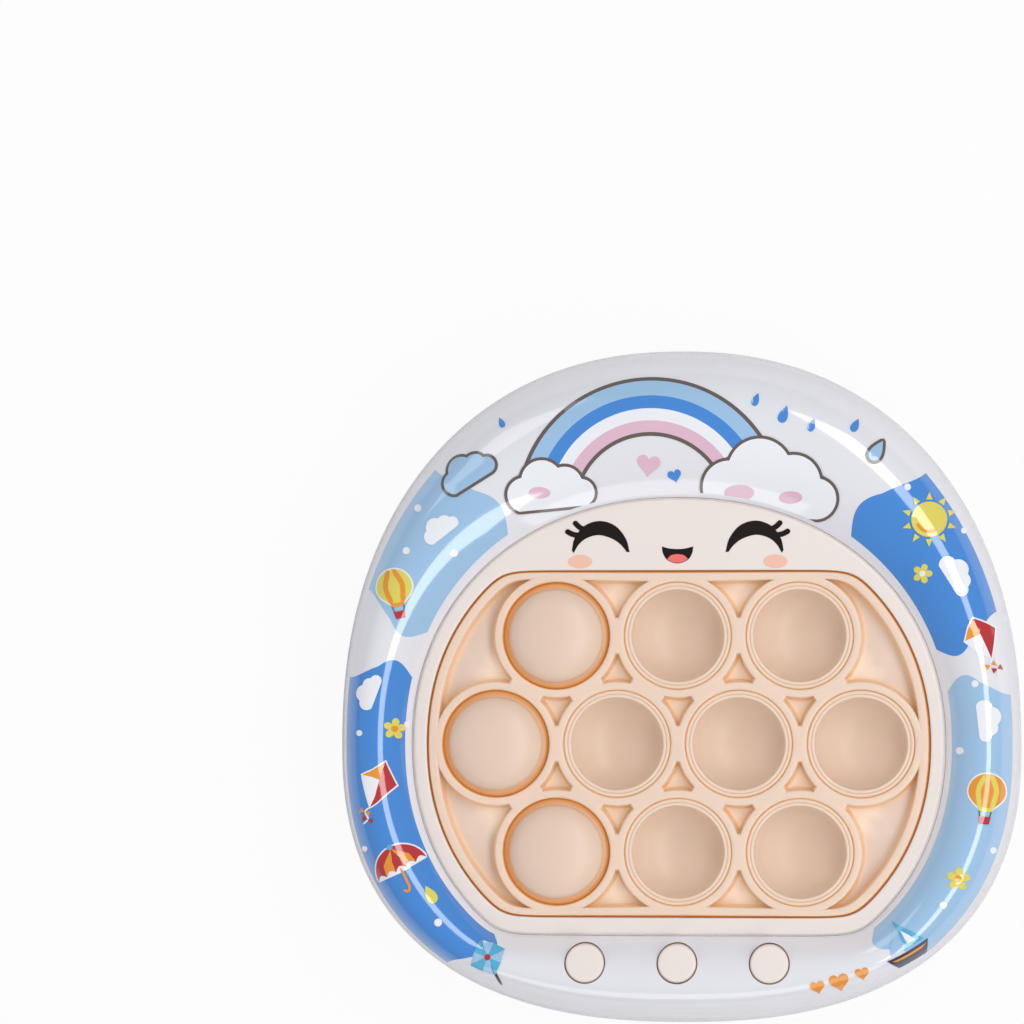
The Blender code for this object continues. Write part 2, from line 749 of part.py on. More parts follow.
def add_bubble_sheet(material):
    """Silicone sheet: a border lip and ten rings that stand over sunk pockets."""
    corners, faces, levels = sheet_plan()
    heights = {"raised": BEZEL_TOP_Z, "pocket": BEZEL_BOTTOM_Z + SHEET_THICKNESS}
    mesh = bmesh.new()
    made = {}

    def corner(index, height):
        key = (index, height)
        if key not in made:
            made[key] = mesh.verts.new((*corners[index], height))
        return made[key]

    sides = {}
    for face, level in zip(faces, levels):
        if level not in heights:
            continue
        mesh.faces.new([corner(index, heights[level]) for index in face])
        mesh.faces.new([corner(index, BEZEL_BOTTOM_Z) for index in reversed(face)])
        for first, second in zip(face, face[1:] + face[:1]):
            sides[first, second] = heights[level]
    for (first, second), top in sides.items():
        below = sides.get((second, first), BEZEL_BOTTOM_Z)
        if top > below:
            wall = ((first, top), (first, below), (second, below), (second, top))
            mesh.faces.new([corner(index, height) for index, height in wall])
    add_piece("bubble_sheet", mesh, material)


def dome_profile(side):
    """Half section of a bubble round its membrane level: side 1 is raised, -1 is pressed in."""
    half = BUBBLE_WALL / 2
    rise = BUBBLE_RISE - half
    rim = BORE_RADIUS - BUBBLE_GAP
    profile = [(0, rise + half)]
    for step in range(1, DOME_STEPS):
        turn = math.pi / 2 * (1 - step / DOME_STEPS)
        across = (DOME_RADIUS + half) * math.cos(turn) ** (2 / DOME_POWER)
        profile.append((across, (rise + half) * math.sin(turn) ** (2 / DOME_POWER)))
    profile += [(DOME_RADIUS + half, half), (rim, half), (rim, -half), (DOME_RADIUS - half, -half)]
    for step in range(1, DOME_STEPS):
        turn = math.pi / 2 * step / DOME_STEPS
        across = (DOME_RADIUS - half) * math.cos(turn) ** (2 / DOME_POWER)
        profile.append((across, (rise - half) * math.sin(turn) ** (2 / DOME_POWER)))
    profile.append((0, rise - half))
    return [(radius, side * height) for radius, height in profile]


def add_bubbles(material):
    """The ten bubbles, each with its origin on its own axis at membrane level."""
    for number, (x, y) in enumerate(bubble_places(), 1):
        side = 1 if number in RAISED_BUBBLES else -1
        mesh = turn_profile(dome_profile(side), DOME_FACETS)
        add_piece(f"bubble_{number:02d}", mesh, material, (x, y, MEMBRANE_Z))


def add_board_frame(material):
    """Rigid frame under the sheet, with its four guide pins."""
    outline = widened(sheet_radius, FRAME_LEDGE)
    rows = (ray_row(outline, FRAME_Z), ray_row(outline, FRAME_TOP_Z))
    frame = add_piece("board_frame", skin_rows(rows, closed=False), material)
    pin_top = FRAME_Z + FRAME_THICKNESS / 2
    pins = [moved(rod(GUIDE_RADIUS, FRAME_Z - GUIDE_LENGTH, pin_top), x, y) for x, y in guide_places()]
    combine(frame, "UNION", add_guide("guide_pins", joined(pins)))
    holes = []
    for x, y in bubble_places():
        hole = rod(FRAME_HOLE_RADIUS, FRAME_Z - OVERRUN, FRAME_TOP_Z + OVERRUN, FACETS)
        holes.append(moved(hole, x, y))
    combine(frame, "DIFFERENCE", add_guide("frame_holes", joined(holes)))


def add_tube(name, points, start, radius, steps, material):
    """Round wire along points counted from a start, with flat ends."""
    curve = bpy.data.curves.new(name, "CURVE")
    curve.dimensions = "3D"
    curve.bevel_depth = radius
    curve.bevel_resolution = steps
    curve.use_fill_caps = True
    spline = curve.splines.new("POLY")
    spline.points.add(len(points) - 1)
    for slot, point in zip(spline.points, points):
        slot.co = (*(Vector(point) + start), 1)
    curve.materials.append(material)
    wire = bpy.data.objects.new(name, curve)
    bpy.context.collection.objects.link(wire)
    return wire


def add_springs(material):
    """Return springs, one round each guide pin, between its tube and the frame."""
    low = TUBE_HEIGHT + GAP + SPRING_WIRE / 2
    high = FRAME_Z - GAP - SPRING_WIRE / 2
    count = SPRING_TURNS * TURN_POINTS
    for number, (x, y) in enumerate(guide_places(), 1):
        points = []
        for step in range(count + 1):
            angle = 2 * math.pi * step / TURN_POINTS
            rise = (high - low) * step / count
            points.append((SPRING_RADIUS * math.cos(angle), SPRING_RADIUS * math.sin(angle), rise))
        add_tube(f"return_spring_{number}", points, Vector((x, y, low)), SPRING_WIRE / 2, 1, material)


# Electronics


def add_main_board(material):
    """Printed board on its two standoffs, with its screw holes."""
    rows = (ray_row(board_radius, BOARD_Z), ray_row(board_radius, BOARD_TOP_Z))
    board = add_piece("main_board", skin_rows(rows, closed=False), material)
    hole_radius = SMALL_SHANK_RADIUS + GAP
    holes = []
    for x, y in board_screw_places():
        holes.append(moved(rod(hole_radius, BOARD_Z - OVERRUN, BOARD_TOP_Z + OVERRUN, SCREW_FACETS), x, y))
    combine(board, "DIFFERENCE", add_guide("board_holes", joined(holes)))


def add_chip(material):
    """Control chip on the board, between two buttons' switches."""
    middle = Vector((-BUTTON_PITCH / 2, CENTRE_Y - BUTTON_DROP + CHIP_RISE, SWITCH_Z))
    half = Vector((CHIP_SIZE / 2, CHIP_SIZE / 2, 0))
    add_piece("control_chip", block(middle - half, middle + half + Vector((0, 0, CHIP_HEIGHT))), material)


def add_bubble_switches(material):
    """Lit switch under each bubble: a round base with a domed cap."""
    height = SWITCH_TOP_Z - SWITCH_Z
    profile = (
        (0, 0),
        (SWITCH_BASE_RADIUS, 0),
        (SWITCH_BASE_RADIUS, SWITCH_BASE_HEIGHT),
        (SWITCH_CAP_RADIUS, SWITCH_BASE_HEIGHT),
        (SWITCH_CAP_RADIUS, height - SWITCH_CAP_ROUND),
        (SWITCH_CAP_RADIUS - SWITCH_CAP_ROUND, height),
        (0, height),
    )
    for number, (x, y) in enumerate(bubble_places(), 1):
        mesh = turn_profile(profile, SCREW_FACETS)
        add_piece(f"bubble_switch_{number:02d}", mesh, material, (x, y, SWITCH_Z))


def stepped_block(size, height, inset, step):
    """Square block with a smaller square on top of it, its bottom at the origin."""
    mesh = block((-size / 2, -size / 2, 0), (size / 2, size / 2, height))
    mesh.faces.ensure_lookup_table()
    top = max(mesh.faces, key=lambda face: face.calc_center_median().z)
    bmesh.ops.inset_individual(mesh, faces=[top], thickness=inset, use_even_offset=True)
    pushed = bmesh.ops.extrude_discrete_faces(mesh, faces=[top])["faces"][0]
    bmesh.ops.translate(mesh, vec=(0, 0, step), verts=pushed.verts)
    return mesh


def add_speaker(material):
    """Small round speaker in its collar, facing the slots."""
    profile = (
        (0, 0),
        (SPEAKER_RADIUS, 0),
        (SPEAKER_RADIUS, SPEAKER_RIM),
        (SPEAKER_MAGNET_RADIUS, SPEAKER_BASKET),
        (SPEAKER_MAGNET_RADIUS, SPEAKER_HEIGHT),
        (0, SPEAKER_HEIGHT),
    )
    mesh = turn_profile(profile, FACETS)
    add_piece("speaker", mesh, material, (0, CENTRE_Y - SPEAKER_DROP, FLOOR_Z + GAP))


def add_screws(steel):
    """Case screws, board screws and the battery door's screw."""
    case_screw = (
        (0, -SCREW_HEAD_HEIGHT),
        (SCREW_HEAD_RADIUS, -SCREW_HEAD_HEIGHT),
        (SCREW_HEAD_RADIUS, 0),
        (SCREW_SHANK_RADIUS, 0),
        (SCREW_SHANK_RADIUS, SCREW_LENGTH - SCREW_SHANK_RADIUS),
        (0, SCREW_LENGTH),
    )
    for number, (x, y) in enumerate(screw_places(), 1):
        mesh = turn_profile(case_screw, SCREW_FACETS)
        add_piece(f"case_screw_{number}", mesh, steel, (x, y, SCREW_SEAT_Z - GAP))
    small = (
        (0, SMALL_HEAD_HEIGHT),
        (SMALL_HEAD_RADIUS, SMALL_HEAD_HEIGHT),
        (SMALL_HEAD_RADIUS, 0),
        (SMALL_SHANK_RADIUS, 0),
        (SMALL_SHANK_RADIUS, SMALL_SHANK_RADIUS - SMALL_LENGTH),
        (0, -SMALL_LENGTH),
    )
    for number, (x, y) in enumerate(board_screw_places(), 1):
        mesh = turn_profile(small, SCREW_FACETS)
        add_piece(f"board_screw_{number}", mesh, steel, (x, y, BOARD_TOP_Z + GAP))


def button_levels():
    """Top, underside of the cap and lower end of the stem for each button, over its own switch."""
    levels = []
    for x, y in button_places():
        top = place_on_crown(x, y - CENTRE_Y) + BUTTON_PROUD
        foot = SWITCH_Z + KEY_HEIGHT + KEY_PLUNGER + BUTTON_TRAVEL + GAP
        levels.append((top, top - BUTTON_SKIRT, foot))
    return levels


def add_buttons(cream, dark):
    """Caps with their stems and side wings, and the switch under each one."""
    names = ("left", "middle", "right")
    for name, (x, y), (top, under, foot) in zip(names, button_places(), button_levels()):
        profile = (
            (0, foot - top),
            (STEM_RADIUS, foot - top),
            (STEM_RADIUS, under - top),
            (BUTTON_RADIUS, under - top),
            (BUTTON_RADIUS, -BUTTON_ROUND),
            (BUTTON_RADIUS - BUTTON_ROUND, 0),
            (0, 0),
        )
        cap = add_piece(f"button_cap_{name}", turn_profile(profile, ROUND_FACETS), cream, (x, y, top))
        low = Vector((-WING_SPAN / 2, -WING_WIDTH / 2, -WING_THICKNESS))
        wings = block(low, (WING_SPAN / 2, WING_WIDTH / 2, WING_THICKNESS))
        combine(cap, "UNION", add_guide(f"wings_{name}", moved(wings, x, y, under)))
        key = stepped_block(KEY_SIZE, KEY_HEIGHT, KEY_INSET, KEY_PLUNGER)
        add_piece(f"button_switch_{name}", key, dark, (x, y, SWITCH_Z))


# Power


def add_cells(material):
    """AAA cells along X, each turned end for end from its neighbour."""
    half = CELL_LENGTH / 2
    shoulder = half - NUB_LENGTH
    profile = (
        (0, -half),
        (CELL_RADIUS - CELL_ROUND, -half),
        (CELL_RADIUS, CELL_ROUND - half),
        (CELL_RADIUS, shoulder - CELL_ROUND),
        (CELL_RADIUS - CELL_ROUND, shoulder),
        (NUB_RADIUS, shoulder),
        (NUB_RADIUS, half),
        (0, half),
    )
    for number, y in enumerate(cell_places(), 1):
        mesh = turn_profile(profile, ROUND_FACETS)
        turn = Matrix.Rotation(math.pi / 2 if number % 2 else -math.pi / 2, 4, "Y")
        bmesh.ops.transform(mesh, matrix=turn, verts=mesh.verts)
        add_piece(f"battery_{number}", mesh, material, (0, y, CELL_Z))


def add_contact(name, side, cells, material):
    """Plate at one end of the box that touches one cell or bridges two, with a bump for each."""
    wall = BOX_HALF_LENGTH - GAP
    face = wall - CONTACT_THICKNESS
    tip = CELL_LENGTH / 2 + GAP
    low_y = min(cells) - CONTACT_WIDTH / 2
    high_y = max(cells) + CONTACT_WIDTH / 2
    low_z = CELL_Z - CONTACT_HEIGHT / 2
    edges = sorted((side * wall, side * face))
    plate_high = (edges[1], high_y, low_z + CONTACT_HEIGHT)
    plate = add_piece(name, block((edges[0], low_y, low_z), plate_high), material)
    bumps = []
    for y in cells:
        bump = rod(CONTACT_BUMP_RADIUS, tip, wall - CONTACT_THICKNESS / 2, SCREW_FACETS)
        turn = Matrix.Rotation(side * math.pi / 2, 4, "Y")
        bmesh.ops.transform(bump, matrix=turn, verts=bump.verts)
        bumps.append(moved(bump, 0, y, CELL_Z))
    combine(plate, "UNION", add_guide(f"{name}_bumps", joined(bumps)))


def add_contacts(material):
    """Contacts that put the three cells in series."""
    first, second, third = cell_places()
    add_contact("contact_plus", 1, (first,), material)
    add_contact("contact_bridge_1", -1, (first, second), material)
    add_contact("contact_bridge_2", 1, (second, third), material)
    add_contact("contact_minus", -1, (third,), material)


def add_door(plastic, steel):
    """Battery door with its screw ear, and the screw."""
    half = BOX_HALF_LENGTH + DOOR_LEDGE - GAP
    low_y = BOX_LOW_Y - DOOR_LEDGE + GAP
    high_y = BOX_HIGH_Y + DOOR_LEDGE - GAP
    top = REAR_Z + DOOR_THICKNESS - GAP / 2
    door = add_piece("battery_door", block((-half, low_y, REAR_Z), (half, high_y, top)), plastic)
    combine(door, "UNION", add_guide("door_ear", moved(rod(DOOR_EAR_RADIUS, REAR_Z, top), 0, EAR_Y)))
    seat_z = REAR_Z + SMALL_HEAD_HEIGHT / 2
    head_radius = SMALL_HEAD_RADIUS + GAP
    shank_radius = SMALL_SHANK_RADIUS + GAP
    hole = (
        (0, -OVERRUN),
        (head_radius, -OVERRUN),
        (head_radius, seat_z),
        (shank_radius, seat_z),
        (shank_radius, top + OVERRUN),
        (0, top + OVERRUN),
    )
    combine(door, "DIFFERENCE", add_guide("door_hole", moved(turn_profile(hole, ROUND_FACETS), 0, EAR_Y)))
    head = seat_z - GAP
    screw = (
        (0, head - SMALL_HEAD_HEIGHT / 2),
        (SMALL_HEAD_RADIUS, head - SMALL_HEAD_HEIGHT / 2),
        (SMALL_HEAD_RADIUS, head),
        (SMALL_SHANK_RADIUS, head),
        (SMALL_SHANK_RADIUS, head + SMALL_LENGTH - SMALL_SHANK_RADIUS),
        (0, head + SMALL_LENGTH),
    )
    add_piece("door_screw", moved(turn_profile(screw, SCREW_FACETS), 0, EAR_Y), steel)


def add_feet(material):
    """Rubber feet in the recesses of the rear shell."""
    height = FOOT_PROUD + FOOT_RECESS - GAP
    profile = (
        (0, 0),
        (FOOT_RADIUS - FOOT_ROUND, 0),
        (FOOT_RADIUS, FOOT_ROUND),
        (FOOT_RADIUS, height),
        (0, height),
    )
    for number, (x, y) in enumerate(foot_places(), 1):
        add_piece(f"foot_{number}", turn_profile(profile, ROUND_FACETS), material, (x, y, 0))


def main():
    for obj in list(bpy.data.objects):
        bpy.data.objects.remove(obj)
    shell_white = finish("shell_white", (0.82, 0.82, 0.86), 0.15)
    cream = finish("cream", (0.80, 0.72, 0.66), 0.35)
    silicone = finish("silicone", (0.84, 0.62, 0.46), 0.5)
    frame_white = finish("frame_white", (0.8, 0.8, 0.8), 0.5)
    board_green = finish("board_green", (0.05, 0.25, 0.10), 0.4)
    dark = finish("dark_plastic", (0.03, 0.03, 0.03), 0.5)
    milky = finish("milky_cap", (0.9, 0.9, 0.85), 0.3)
    steel = finish("steel", (0.6, 0.6, 0.6), 0.35, 1.0)
    rubber = finish("foot_rubber", (0.3, 0.3, 0.3), 0.8)
    cell = finish("cell_wrap", (0.12, 0.18, 0.30), 0.3)
    lead = finish("lead", (0.5, 0.05, 0.05), 0.5)
    add_rear_shell(shell_white)
    add_front_shell(shell_white)
    add_bezel(cream)
    add_bubble_sheet(silicone)
    add_bubbles(silicone)
    add_board_frame(frame_white)
    add_springs(steel)
    add_main_board(board_green)
    add_chip(dark)
    add_bubble_switches(milky)
    add_buttons(cream, dark)
    add_speaker(dark)
    speaker_start = Vector((0, CENTRE_Y - SPEAKER_DROP, BOARD_Z))
    add_tube("speaker_lead", SPEAKER_LEAD_POINTS, speaker_start, LEAD_RADIUS, LEAD_STEPS, lead)
    box_start = Vector((0, BOX_LOW_Y, BOARD_Z))
    add_tube("battery_lead", BATTERY_LEAD_POINTS, box_start, LEAD_RADIUS, LEAD_STEPS, lead)
    add_cells(cell)
    add_contacts(steel)
    add_door(shell_white, steel)
    add_screws(steel)
    add_feet(rubber)


main()
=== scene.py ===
"""Finished look of a handheld electronic bubble pop game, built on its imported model.

Metres, +Z up. The toy lies on its back, face up, with its forehead towards +Y.
"""

import logging
import math
from collections.abc import Callable, Iterable, Sequence
from dataclasses import dataclass
from enum import Enum

import bmesh
import bpy
import numpy as np
from mathutils import Matrix, Vector
from mathutils.geometry import delaunay_2d_cdt


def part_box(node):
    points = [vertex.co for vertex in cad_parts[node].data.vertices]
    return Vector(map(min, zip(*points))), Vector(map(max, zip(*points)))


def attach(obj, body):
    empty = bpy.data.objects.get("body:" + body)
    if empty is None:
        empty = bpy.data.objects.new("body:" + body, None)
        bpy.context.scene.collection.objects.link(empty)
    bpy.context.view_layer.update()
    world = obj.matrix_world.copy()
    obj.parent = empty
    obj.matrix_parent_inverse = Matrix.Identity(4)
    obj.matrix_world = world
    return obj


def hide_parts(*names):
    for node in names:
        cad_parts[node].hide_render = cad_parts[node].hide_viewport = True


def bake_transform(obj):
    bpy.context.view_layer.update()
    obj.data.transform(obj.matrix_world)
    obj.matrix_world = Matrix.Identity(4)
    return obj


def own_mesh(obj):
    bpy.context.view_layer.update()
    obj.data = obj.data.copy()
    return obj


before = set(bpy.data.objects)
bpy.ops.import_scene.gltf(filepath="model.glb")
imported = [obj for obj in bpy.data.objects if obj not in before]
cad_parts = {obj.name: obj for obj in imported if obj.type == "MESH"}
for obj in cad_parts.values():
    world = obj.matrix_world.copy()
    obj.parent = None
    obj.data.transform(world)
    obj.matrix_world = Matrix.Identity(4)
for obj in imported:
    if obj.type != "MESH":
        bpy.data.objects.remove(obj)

log = logging.getLogger("bubble_game")
MM = 0.001
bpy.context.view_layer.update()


class Body(Enum):
    """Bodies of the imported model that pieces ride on."""

    CASE = "case"
    PUSH_BOARD = "push_board"
    DOOR = "battery_door"


class Ink(Enum):
    """Print colours, as sRGB from 0 to 255."""

    SKY = (158, 196, 230)
    BLUE = (62, 136, 216)
    WHITE = (240, 242, 248)
    YELLOW = (226, 214, 92)
    ORANGE = (235, 150, 38)
    RED = (186, 34, 40)
    CYAN = (78, 176, 214)
    NAVY = (36, 42, 68)
    BROWN = (98, 86, 80)
    PINK = (226, 186, 206)
    BLACK = (28, 20, 20)
    CORAL = (236, 116, 110)
    BLUSH = (238, 192, 172)


def linear(colour: Sequence[float]) -> tuple[float, float, float, float]:
    """Scene-linear colour of an sRGB one.

    Args:
        colour: Red, green and blue from 0 to 255.

    Returns:
        Linear red, green, blue and a full alpha.
    """
    shares = [value / 255 for value in colour]
    rgb = [s / 12.92 if s <= 0.04045 else ((s + 0.055) / 1.055) ** 2.4 for s in shares]
    return (rgb[0], rgb[1], rgb[2], 1.0)


# Outlines shared by all pieces


@dataclass(frozen=True)
class ToyOutline:
    """Outlines round the toy's centre, as arrays of angles in and distances out."""

    centre_y: float = -0.0135
    case_half_width: float = 0.080
    case_upper: float = 0.0925
    case_lower: float = 0.0655
    case_upper_power: float = 2.23
    case_lower_power: float = 2.4
    bezel_half_width: float = 0.062
    bezel_half_length: float = 0.0572
    bezel_bottom: float = 0.0444
    opening_half_width: float = 0.0588
    opening_half_length: float = 0.0535
    opening_flat: float = 0.04045
    oval_power: float = 2.14
    corner_power: float = 40.0
    gap: float = 0.0003
    sheet_gap: float = 0.0005
    crest_z: float = 0.040
    front_z: float = 0.0183
    split_z: float = 0.018
    edge_drop: float = 0.0062
    crown_power: float = 2.2
    rear_z: float = 0.001
    rear_inset: float = 0.020
    wall: float = 0.002
    top_z: float = 0.034

    def ring(self, angle: np.ndarray, reach: np.ndarray, height: np.ndarray | float) -> np.ndarray:
        """Row of points round the centre, at one height or at a height each."""
        across, along = reach * np.cos(angle), self.centre_y + reach * np.sin(angle)
        return np.stack((across, along, np.broadcast_to(height, across.shape)), axis=-1)

    def polar(self, points: np.ndarray) -> tuple[np.ndarray, np.ndarray]:
        """Angle and distance of points round the centre."""
        across, along = points[:, 0], points[:, 1] - self.centre_y
        return np.arctan2(along, across), np.hypot(across, along)

    def superellipse(self, angle: np.ndarray, width: float, length: float, power: float) -> np.ndarray:
        """Distance to a superellipse along rays."""
        across = np.abs(np.cos(angle) / width) ** power
        along = np.abs(np.sin(angle) / length) ** power
        return (across + along) ** (-1 / power)

    def capped(self, oval: np.ndarray, angle: np.ndarray, upper: float, lower: float) -> np.ndarray:
        """An oval that straight edges cut off above and below."""
        sine = np.sin(angle)
        flat = np.where(sine > 0, upper, lower)
        pull = oval**-self.corner_power + (np.abs(sine) / flat) ** self.corner_power
        return pull ** (-1 / self.corner_power)

    def case(self, angle: np.ndarray) -> np.ndarray:
        """Outer outline of the case."""
        upper = self.superellipse(angle, self.case_half_width, self.case_upper, self.case_upper_power)
        lower = self.superellipse(angle, self.case_half_width, self.case_lower, self.case_lower_power)
        return np.where(np.sin(angle) > 0, upper, lower)

    def bezel(self, angle: np.ndarray) -> np.ndarray:
        """Outer outline of the bezel."""
        oval = self.superellipse(angle, self.bezel_half_width, self.bezel_half_length, self.oval_power)
        return self.capped(oval, angle, 1.0, self.bezel_bottom)

    def rim(self, angle: np.ndarray) -> np.ndarray:
        """Inner edge of the front shell."""
        return self.bezel(angle) + self.gap

    def opening(self, angle: np.ndarray) -> np.ndarray:
        """Opening in the bezel."""
        oval = self.superellipse(angle, self.opening_half_width, self.opening_half_length, self.oval_power)
        return self.capped(oval, angle, self.opening_flat, self.opening_flat)

    def sheet(self, angle: np.ndarray) -> np.ndarray:
        """Outline of the bubble sheet."""
        return self.opening(angle) - self.sheet_gap

    def crown_section(self, travel: np.ndarray) -> tuple[np.ndarray, np.ndarray]:
        """Section of the ring from its inner edge, 0, over the crest, 1, to its outer edge, 2.

        Args:
            travel: Places along the section.

        Returns:
            The share of the way in from the outer edge, and the height, at each place.
        """
        fall = np.clip(1 - travel, -1, 1)
        turn = np.clip(2 - travel, 0, 1) * math.pi / 2
        share_out = 0.5 * (1 - np.cos(turn) ** (2 / self.crown_power))
        rise = np.sin(turn) ** (2 / self.crown_power)
        share = np.where(travel < 1, 1 - travel / 2, share_out)
        high = self.crest_z - self.edge_drop * fall**2
        low = self.front_z + rise * (self.crest_z - self.front_z)
        return share, np.where(travel < 1, high, low)

    def crown_point(self, angle: np.ndarray, travel: np.ndarray) -> np.ndarray:
        """Points of the ring's surface at angles and places along its section."""
        share, height = self.crown_section(travel)
        outer = self.case(angle)
        return self.ring(angle, outer + (self.rim(angle) - outer) * share, height)

    def crown_travel(self, x: np.ndarray, y: np.ndarray) -> tuple[np.ndarray, np.ndarray]:
        """Angle and place along the section of points seen from above."""
        angle = np.arctan2(y - self.centre_y, x)
        outer = self.case(angle)
        share = (outer - np.hypot(x, y - self.centre_y)) / (outer - self.rim(angle))
        lean = np.clip(1 - share / 0.5, 0, 1)
        turn = np.arccos(lean ** (self.crown_power / 2))
        return angle, np.where(share >= 0.5, 2 * (1 - share), 2 - turn / (math.pi / 2))


def turns(count: int) -> np.ndarray:
    """Evenly spaced angles round a full turn."""
    return np.arange(count) * (2 * math.pi / count)


def circle(angle: np.ndarray) -> np.ndarray:
    """Points of the unit circle at angles."""
    return np.stack((np.cos(angle), np.sin(angle)), axis=1)


def paint(piece: bpy.types.Object, **attributes: np.ndarray) -> None:
    """Writes numbers at a mesh's points as named attributes for its material."""
    for name, values in attributes.items():
        attribute = piece.data.attributes.new(name, "FLOAT", "POINT")
        attribute.data.foreach_set("value", np.asarray(values, np.float32))


# Mesh helpers


def mesh_object(name: str, corners: Sequence, faces: Sequence, edges: Sequence = ()) -> bpy.types.Object:
    """New object of corners, faces and loose edges, linked to the scene."""
    mesh = bpy.data.meshes.new(name)
    mesh.from_pydata([tuple(c) for c in corners], edges, [tuple(int(i) for i in f) for f in faces])
    piece = bpy.data.objects.new(name, mesh)
    bpy.context.scene.collection.objects.link(piece)
    return piece


def numbers(rows: int, count: int, first: int = 0) -> list[list[int]]:
    """Corner numbers of rows of equally many points."""
    return [[first + row * count + i for i in range(count)] for row in range(rows)]


def bands(rings: Sequence[list[int]], looped: bool) -> list[list[int]]:
    """Faces between each two rings of corner numbers, and from the last to the first if looped."""
    pairs = list(zip(rings, rings[1:])) + ([(rings[-1], rings[0])] if looped else [])
    faces = []
    for low, high in pairs:
        for face in zip(low, low[1:] + low[:1], high[1:] + high[:1], high):
            corners = list(dict.fromkeys(face))
            if len(corners) > 2:
                faces.append(corners)
    return faces


def slab(triangles: Iterable[Sequence[int]], size: int, first: int = 0) -> list[list[int]]:
    """Faces of a closed slab: triangles on top, the same ones below, and the sides.

    Args:
        triangles: Numbers of their corners, from 0.
        size: How many corners the top has, which those below follow.
        first: Number of the first corner.

    Returns:
        The faces.
    """
    faces, sides = [], {}
    for t in triangles:
        faces += [[first + i for i in t], [first + size + i for i in reversed(t)]]
        sides.update(dict.fromkeys(zip(t, t[1:] + t[:1])))
    for a, b in sides:
        if (b, a) not in sides:
            faces.append([first + b, first + a, first + size + a, first + size + b])
    return faces


def triangulated(points: Sequence[Vector], edges: Sequence[tuple[int, int]], merge: float) -> tuple:
    """Flat points, the triangles among them that keep the edges, and each triangle's middle."""
    made, _, triangles, *_ = delaunay_2d_cdt(points, edges, [], 0, merge)
    flat = np.array([tuple(p) for p in made])
    return flat, triangles, flat[np.array(triangles)].mean(axis=1)


def trimmed(piece: bpy.types.Object) -> bpy.types.Object:
    """Drops loose points and turns every face outwards."""
    mesh = bmesh.new()
    mesh.from_mesh(piece.data)
    loose = [v for v in mesh.verts if not v.link_faces]
    bmesh.ops.delete(mesh, geom=loose, context="VERTS")
    bmesh.ops.recalc_face_normals(mesh, faces=mesh.faces)
    mesh.to_mesh(piece.data)
    mesh.free()
    return piece


def outward(piece: bpy.types.Object, merge: float = 1e-7) -> bpy.types.Object:
    """Merges doubles and turns every face outwards."""
    mesh = bmesh.new()
    mesh.from_mesh(piece.data)
    bmesh.ops.remove_doubles(mesh, verts=mesh.verts, dist=merge)
    bmesh.ops.recalc_face_normals(mesh, faces=mesh.faces)
    mesh.to_mesh(piece.data)
    mesh.free()
    return piece


def soften(piece: bpy.types.Object, degrees: float = 32.0) -> bpy.types.Object:
    """Smooth shading, with sharp edges above an angle."""
    mesh = piece.data
    mesh.polygons.foreach_set("use_smooth", [True] * len(mesh.polygons))
    mesh.set_sharp_from_angle(angle=math.radians(degrees))
    return piece


def loft(name: str, rows: Sequence[np.ndarray], closed: bool) -> bpy.types.Object:
    """Skin over rows of equally many points, closed into a ring section or capped at both ends."""
    rings = numbers(len(rows), len(rows[0]))
    ends = [] if closed else [rings[0][::-1], rings[-1]]
    return outward(mesh_object(name, np.concatenate(rows), bands(rings, closed) + ends))


def lathe(name: str, profile: Sequence[tuple[float, float]], segments: int, centre: Sequence[float],
          looped: bool = False) -> bpy.types.Object:
    """Solid of revolution round an upright axis.

    Args:
        name: Name of the object.
        profile: Distances from the axis and heights.
        segments: Steps round the axis.
        centre: Place of the axis at height 0 of the profile.
        looped: Joins the profile's last point to its first.

    Returns:
        The closed solid.
    """
    angle = turns(segments)
    corners: list[tuple[float, float, float]] = []
    rings: list[list[int]] = []
    for reach, height in profile:
        first = len(corners)
        if reach < 1e-9:
            corners.append((centre[0], centre[1], centre[2] + height))
            rings.append([first] * segments)
            continue
        x, y = centre[0] + reach * np.cos(angle), centre[1] + reach * np.sin(angle)
        corners += [(a, b, centre[2] + height) for a, b in zip(x, y)]
        rings.append([first + i for i in range(segments)])
    return outward(mesh_object(name, corners, bands(rings, looped)))


def rod(radius: float, low: float, high: float, x: float, y: float, segments: int = 32) -> bpy.types.Object:
    """Upright round rod."""
    return lathe("rod", ((0, low), (radius, low), (radius, high), (0, high)), segments, (x, y, 0))


def block(low: Sequence[float], high: Sequence[float]) -> bpy.types.Object:
    """Box between two corners."""
    corners = [(x, y, z) for z in (low[2], high[2]) for y in (low[1], high[1]) for x in (low[0], high[0])]
    faces = ((0, 2, 3, 1), (4, 5, 7, 6), (0, 1, 5, 4), (2, 6, 7, 3), (0, 4, 6, 2), (1, 3, 7, 5))
    return outward(mesh_object("block", corners, faces))


def evaluated(piece: bpy.types.Object) -> bpy.types.Object:
    """Applies the modifiers of a piece to its mesh."""
    graph = bpy.context.evaluated_depsgraph_get()
    mesh = bpy.data.meshes.new_from_object(piece.evaluated_get(graph), depsgraph=graph)
    piece.modifiers.clear()
    piece.data = mesh
    return piece


def boolean(piece: bpy.types.Object, operation: str, tools: Sequence[bpy.types.Object]) -> bpy.types.Object:
    """Boolean of a piece with tools, which are used up.

    Args:
        piece: Piece that is changed.
        operation: UNION, DIFFERENCE or INTERSECT.
        tools: Solids that don't touch each other.

    Returns:
        The piece, with the result as its mesh.
    """
    tool = joined("tool", tools)
    modifier = piece.modifiers.new("boolean", "BOOLEAN")
    modifier.operation = operation
    modifier.solver = "EXACT"
    modifier.object = tool
    evaluated(piece)
    bpy.data.objects.remove(tool)
    return piece


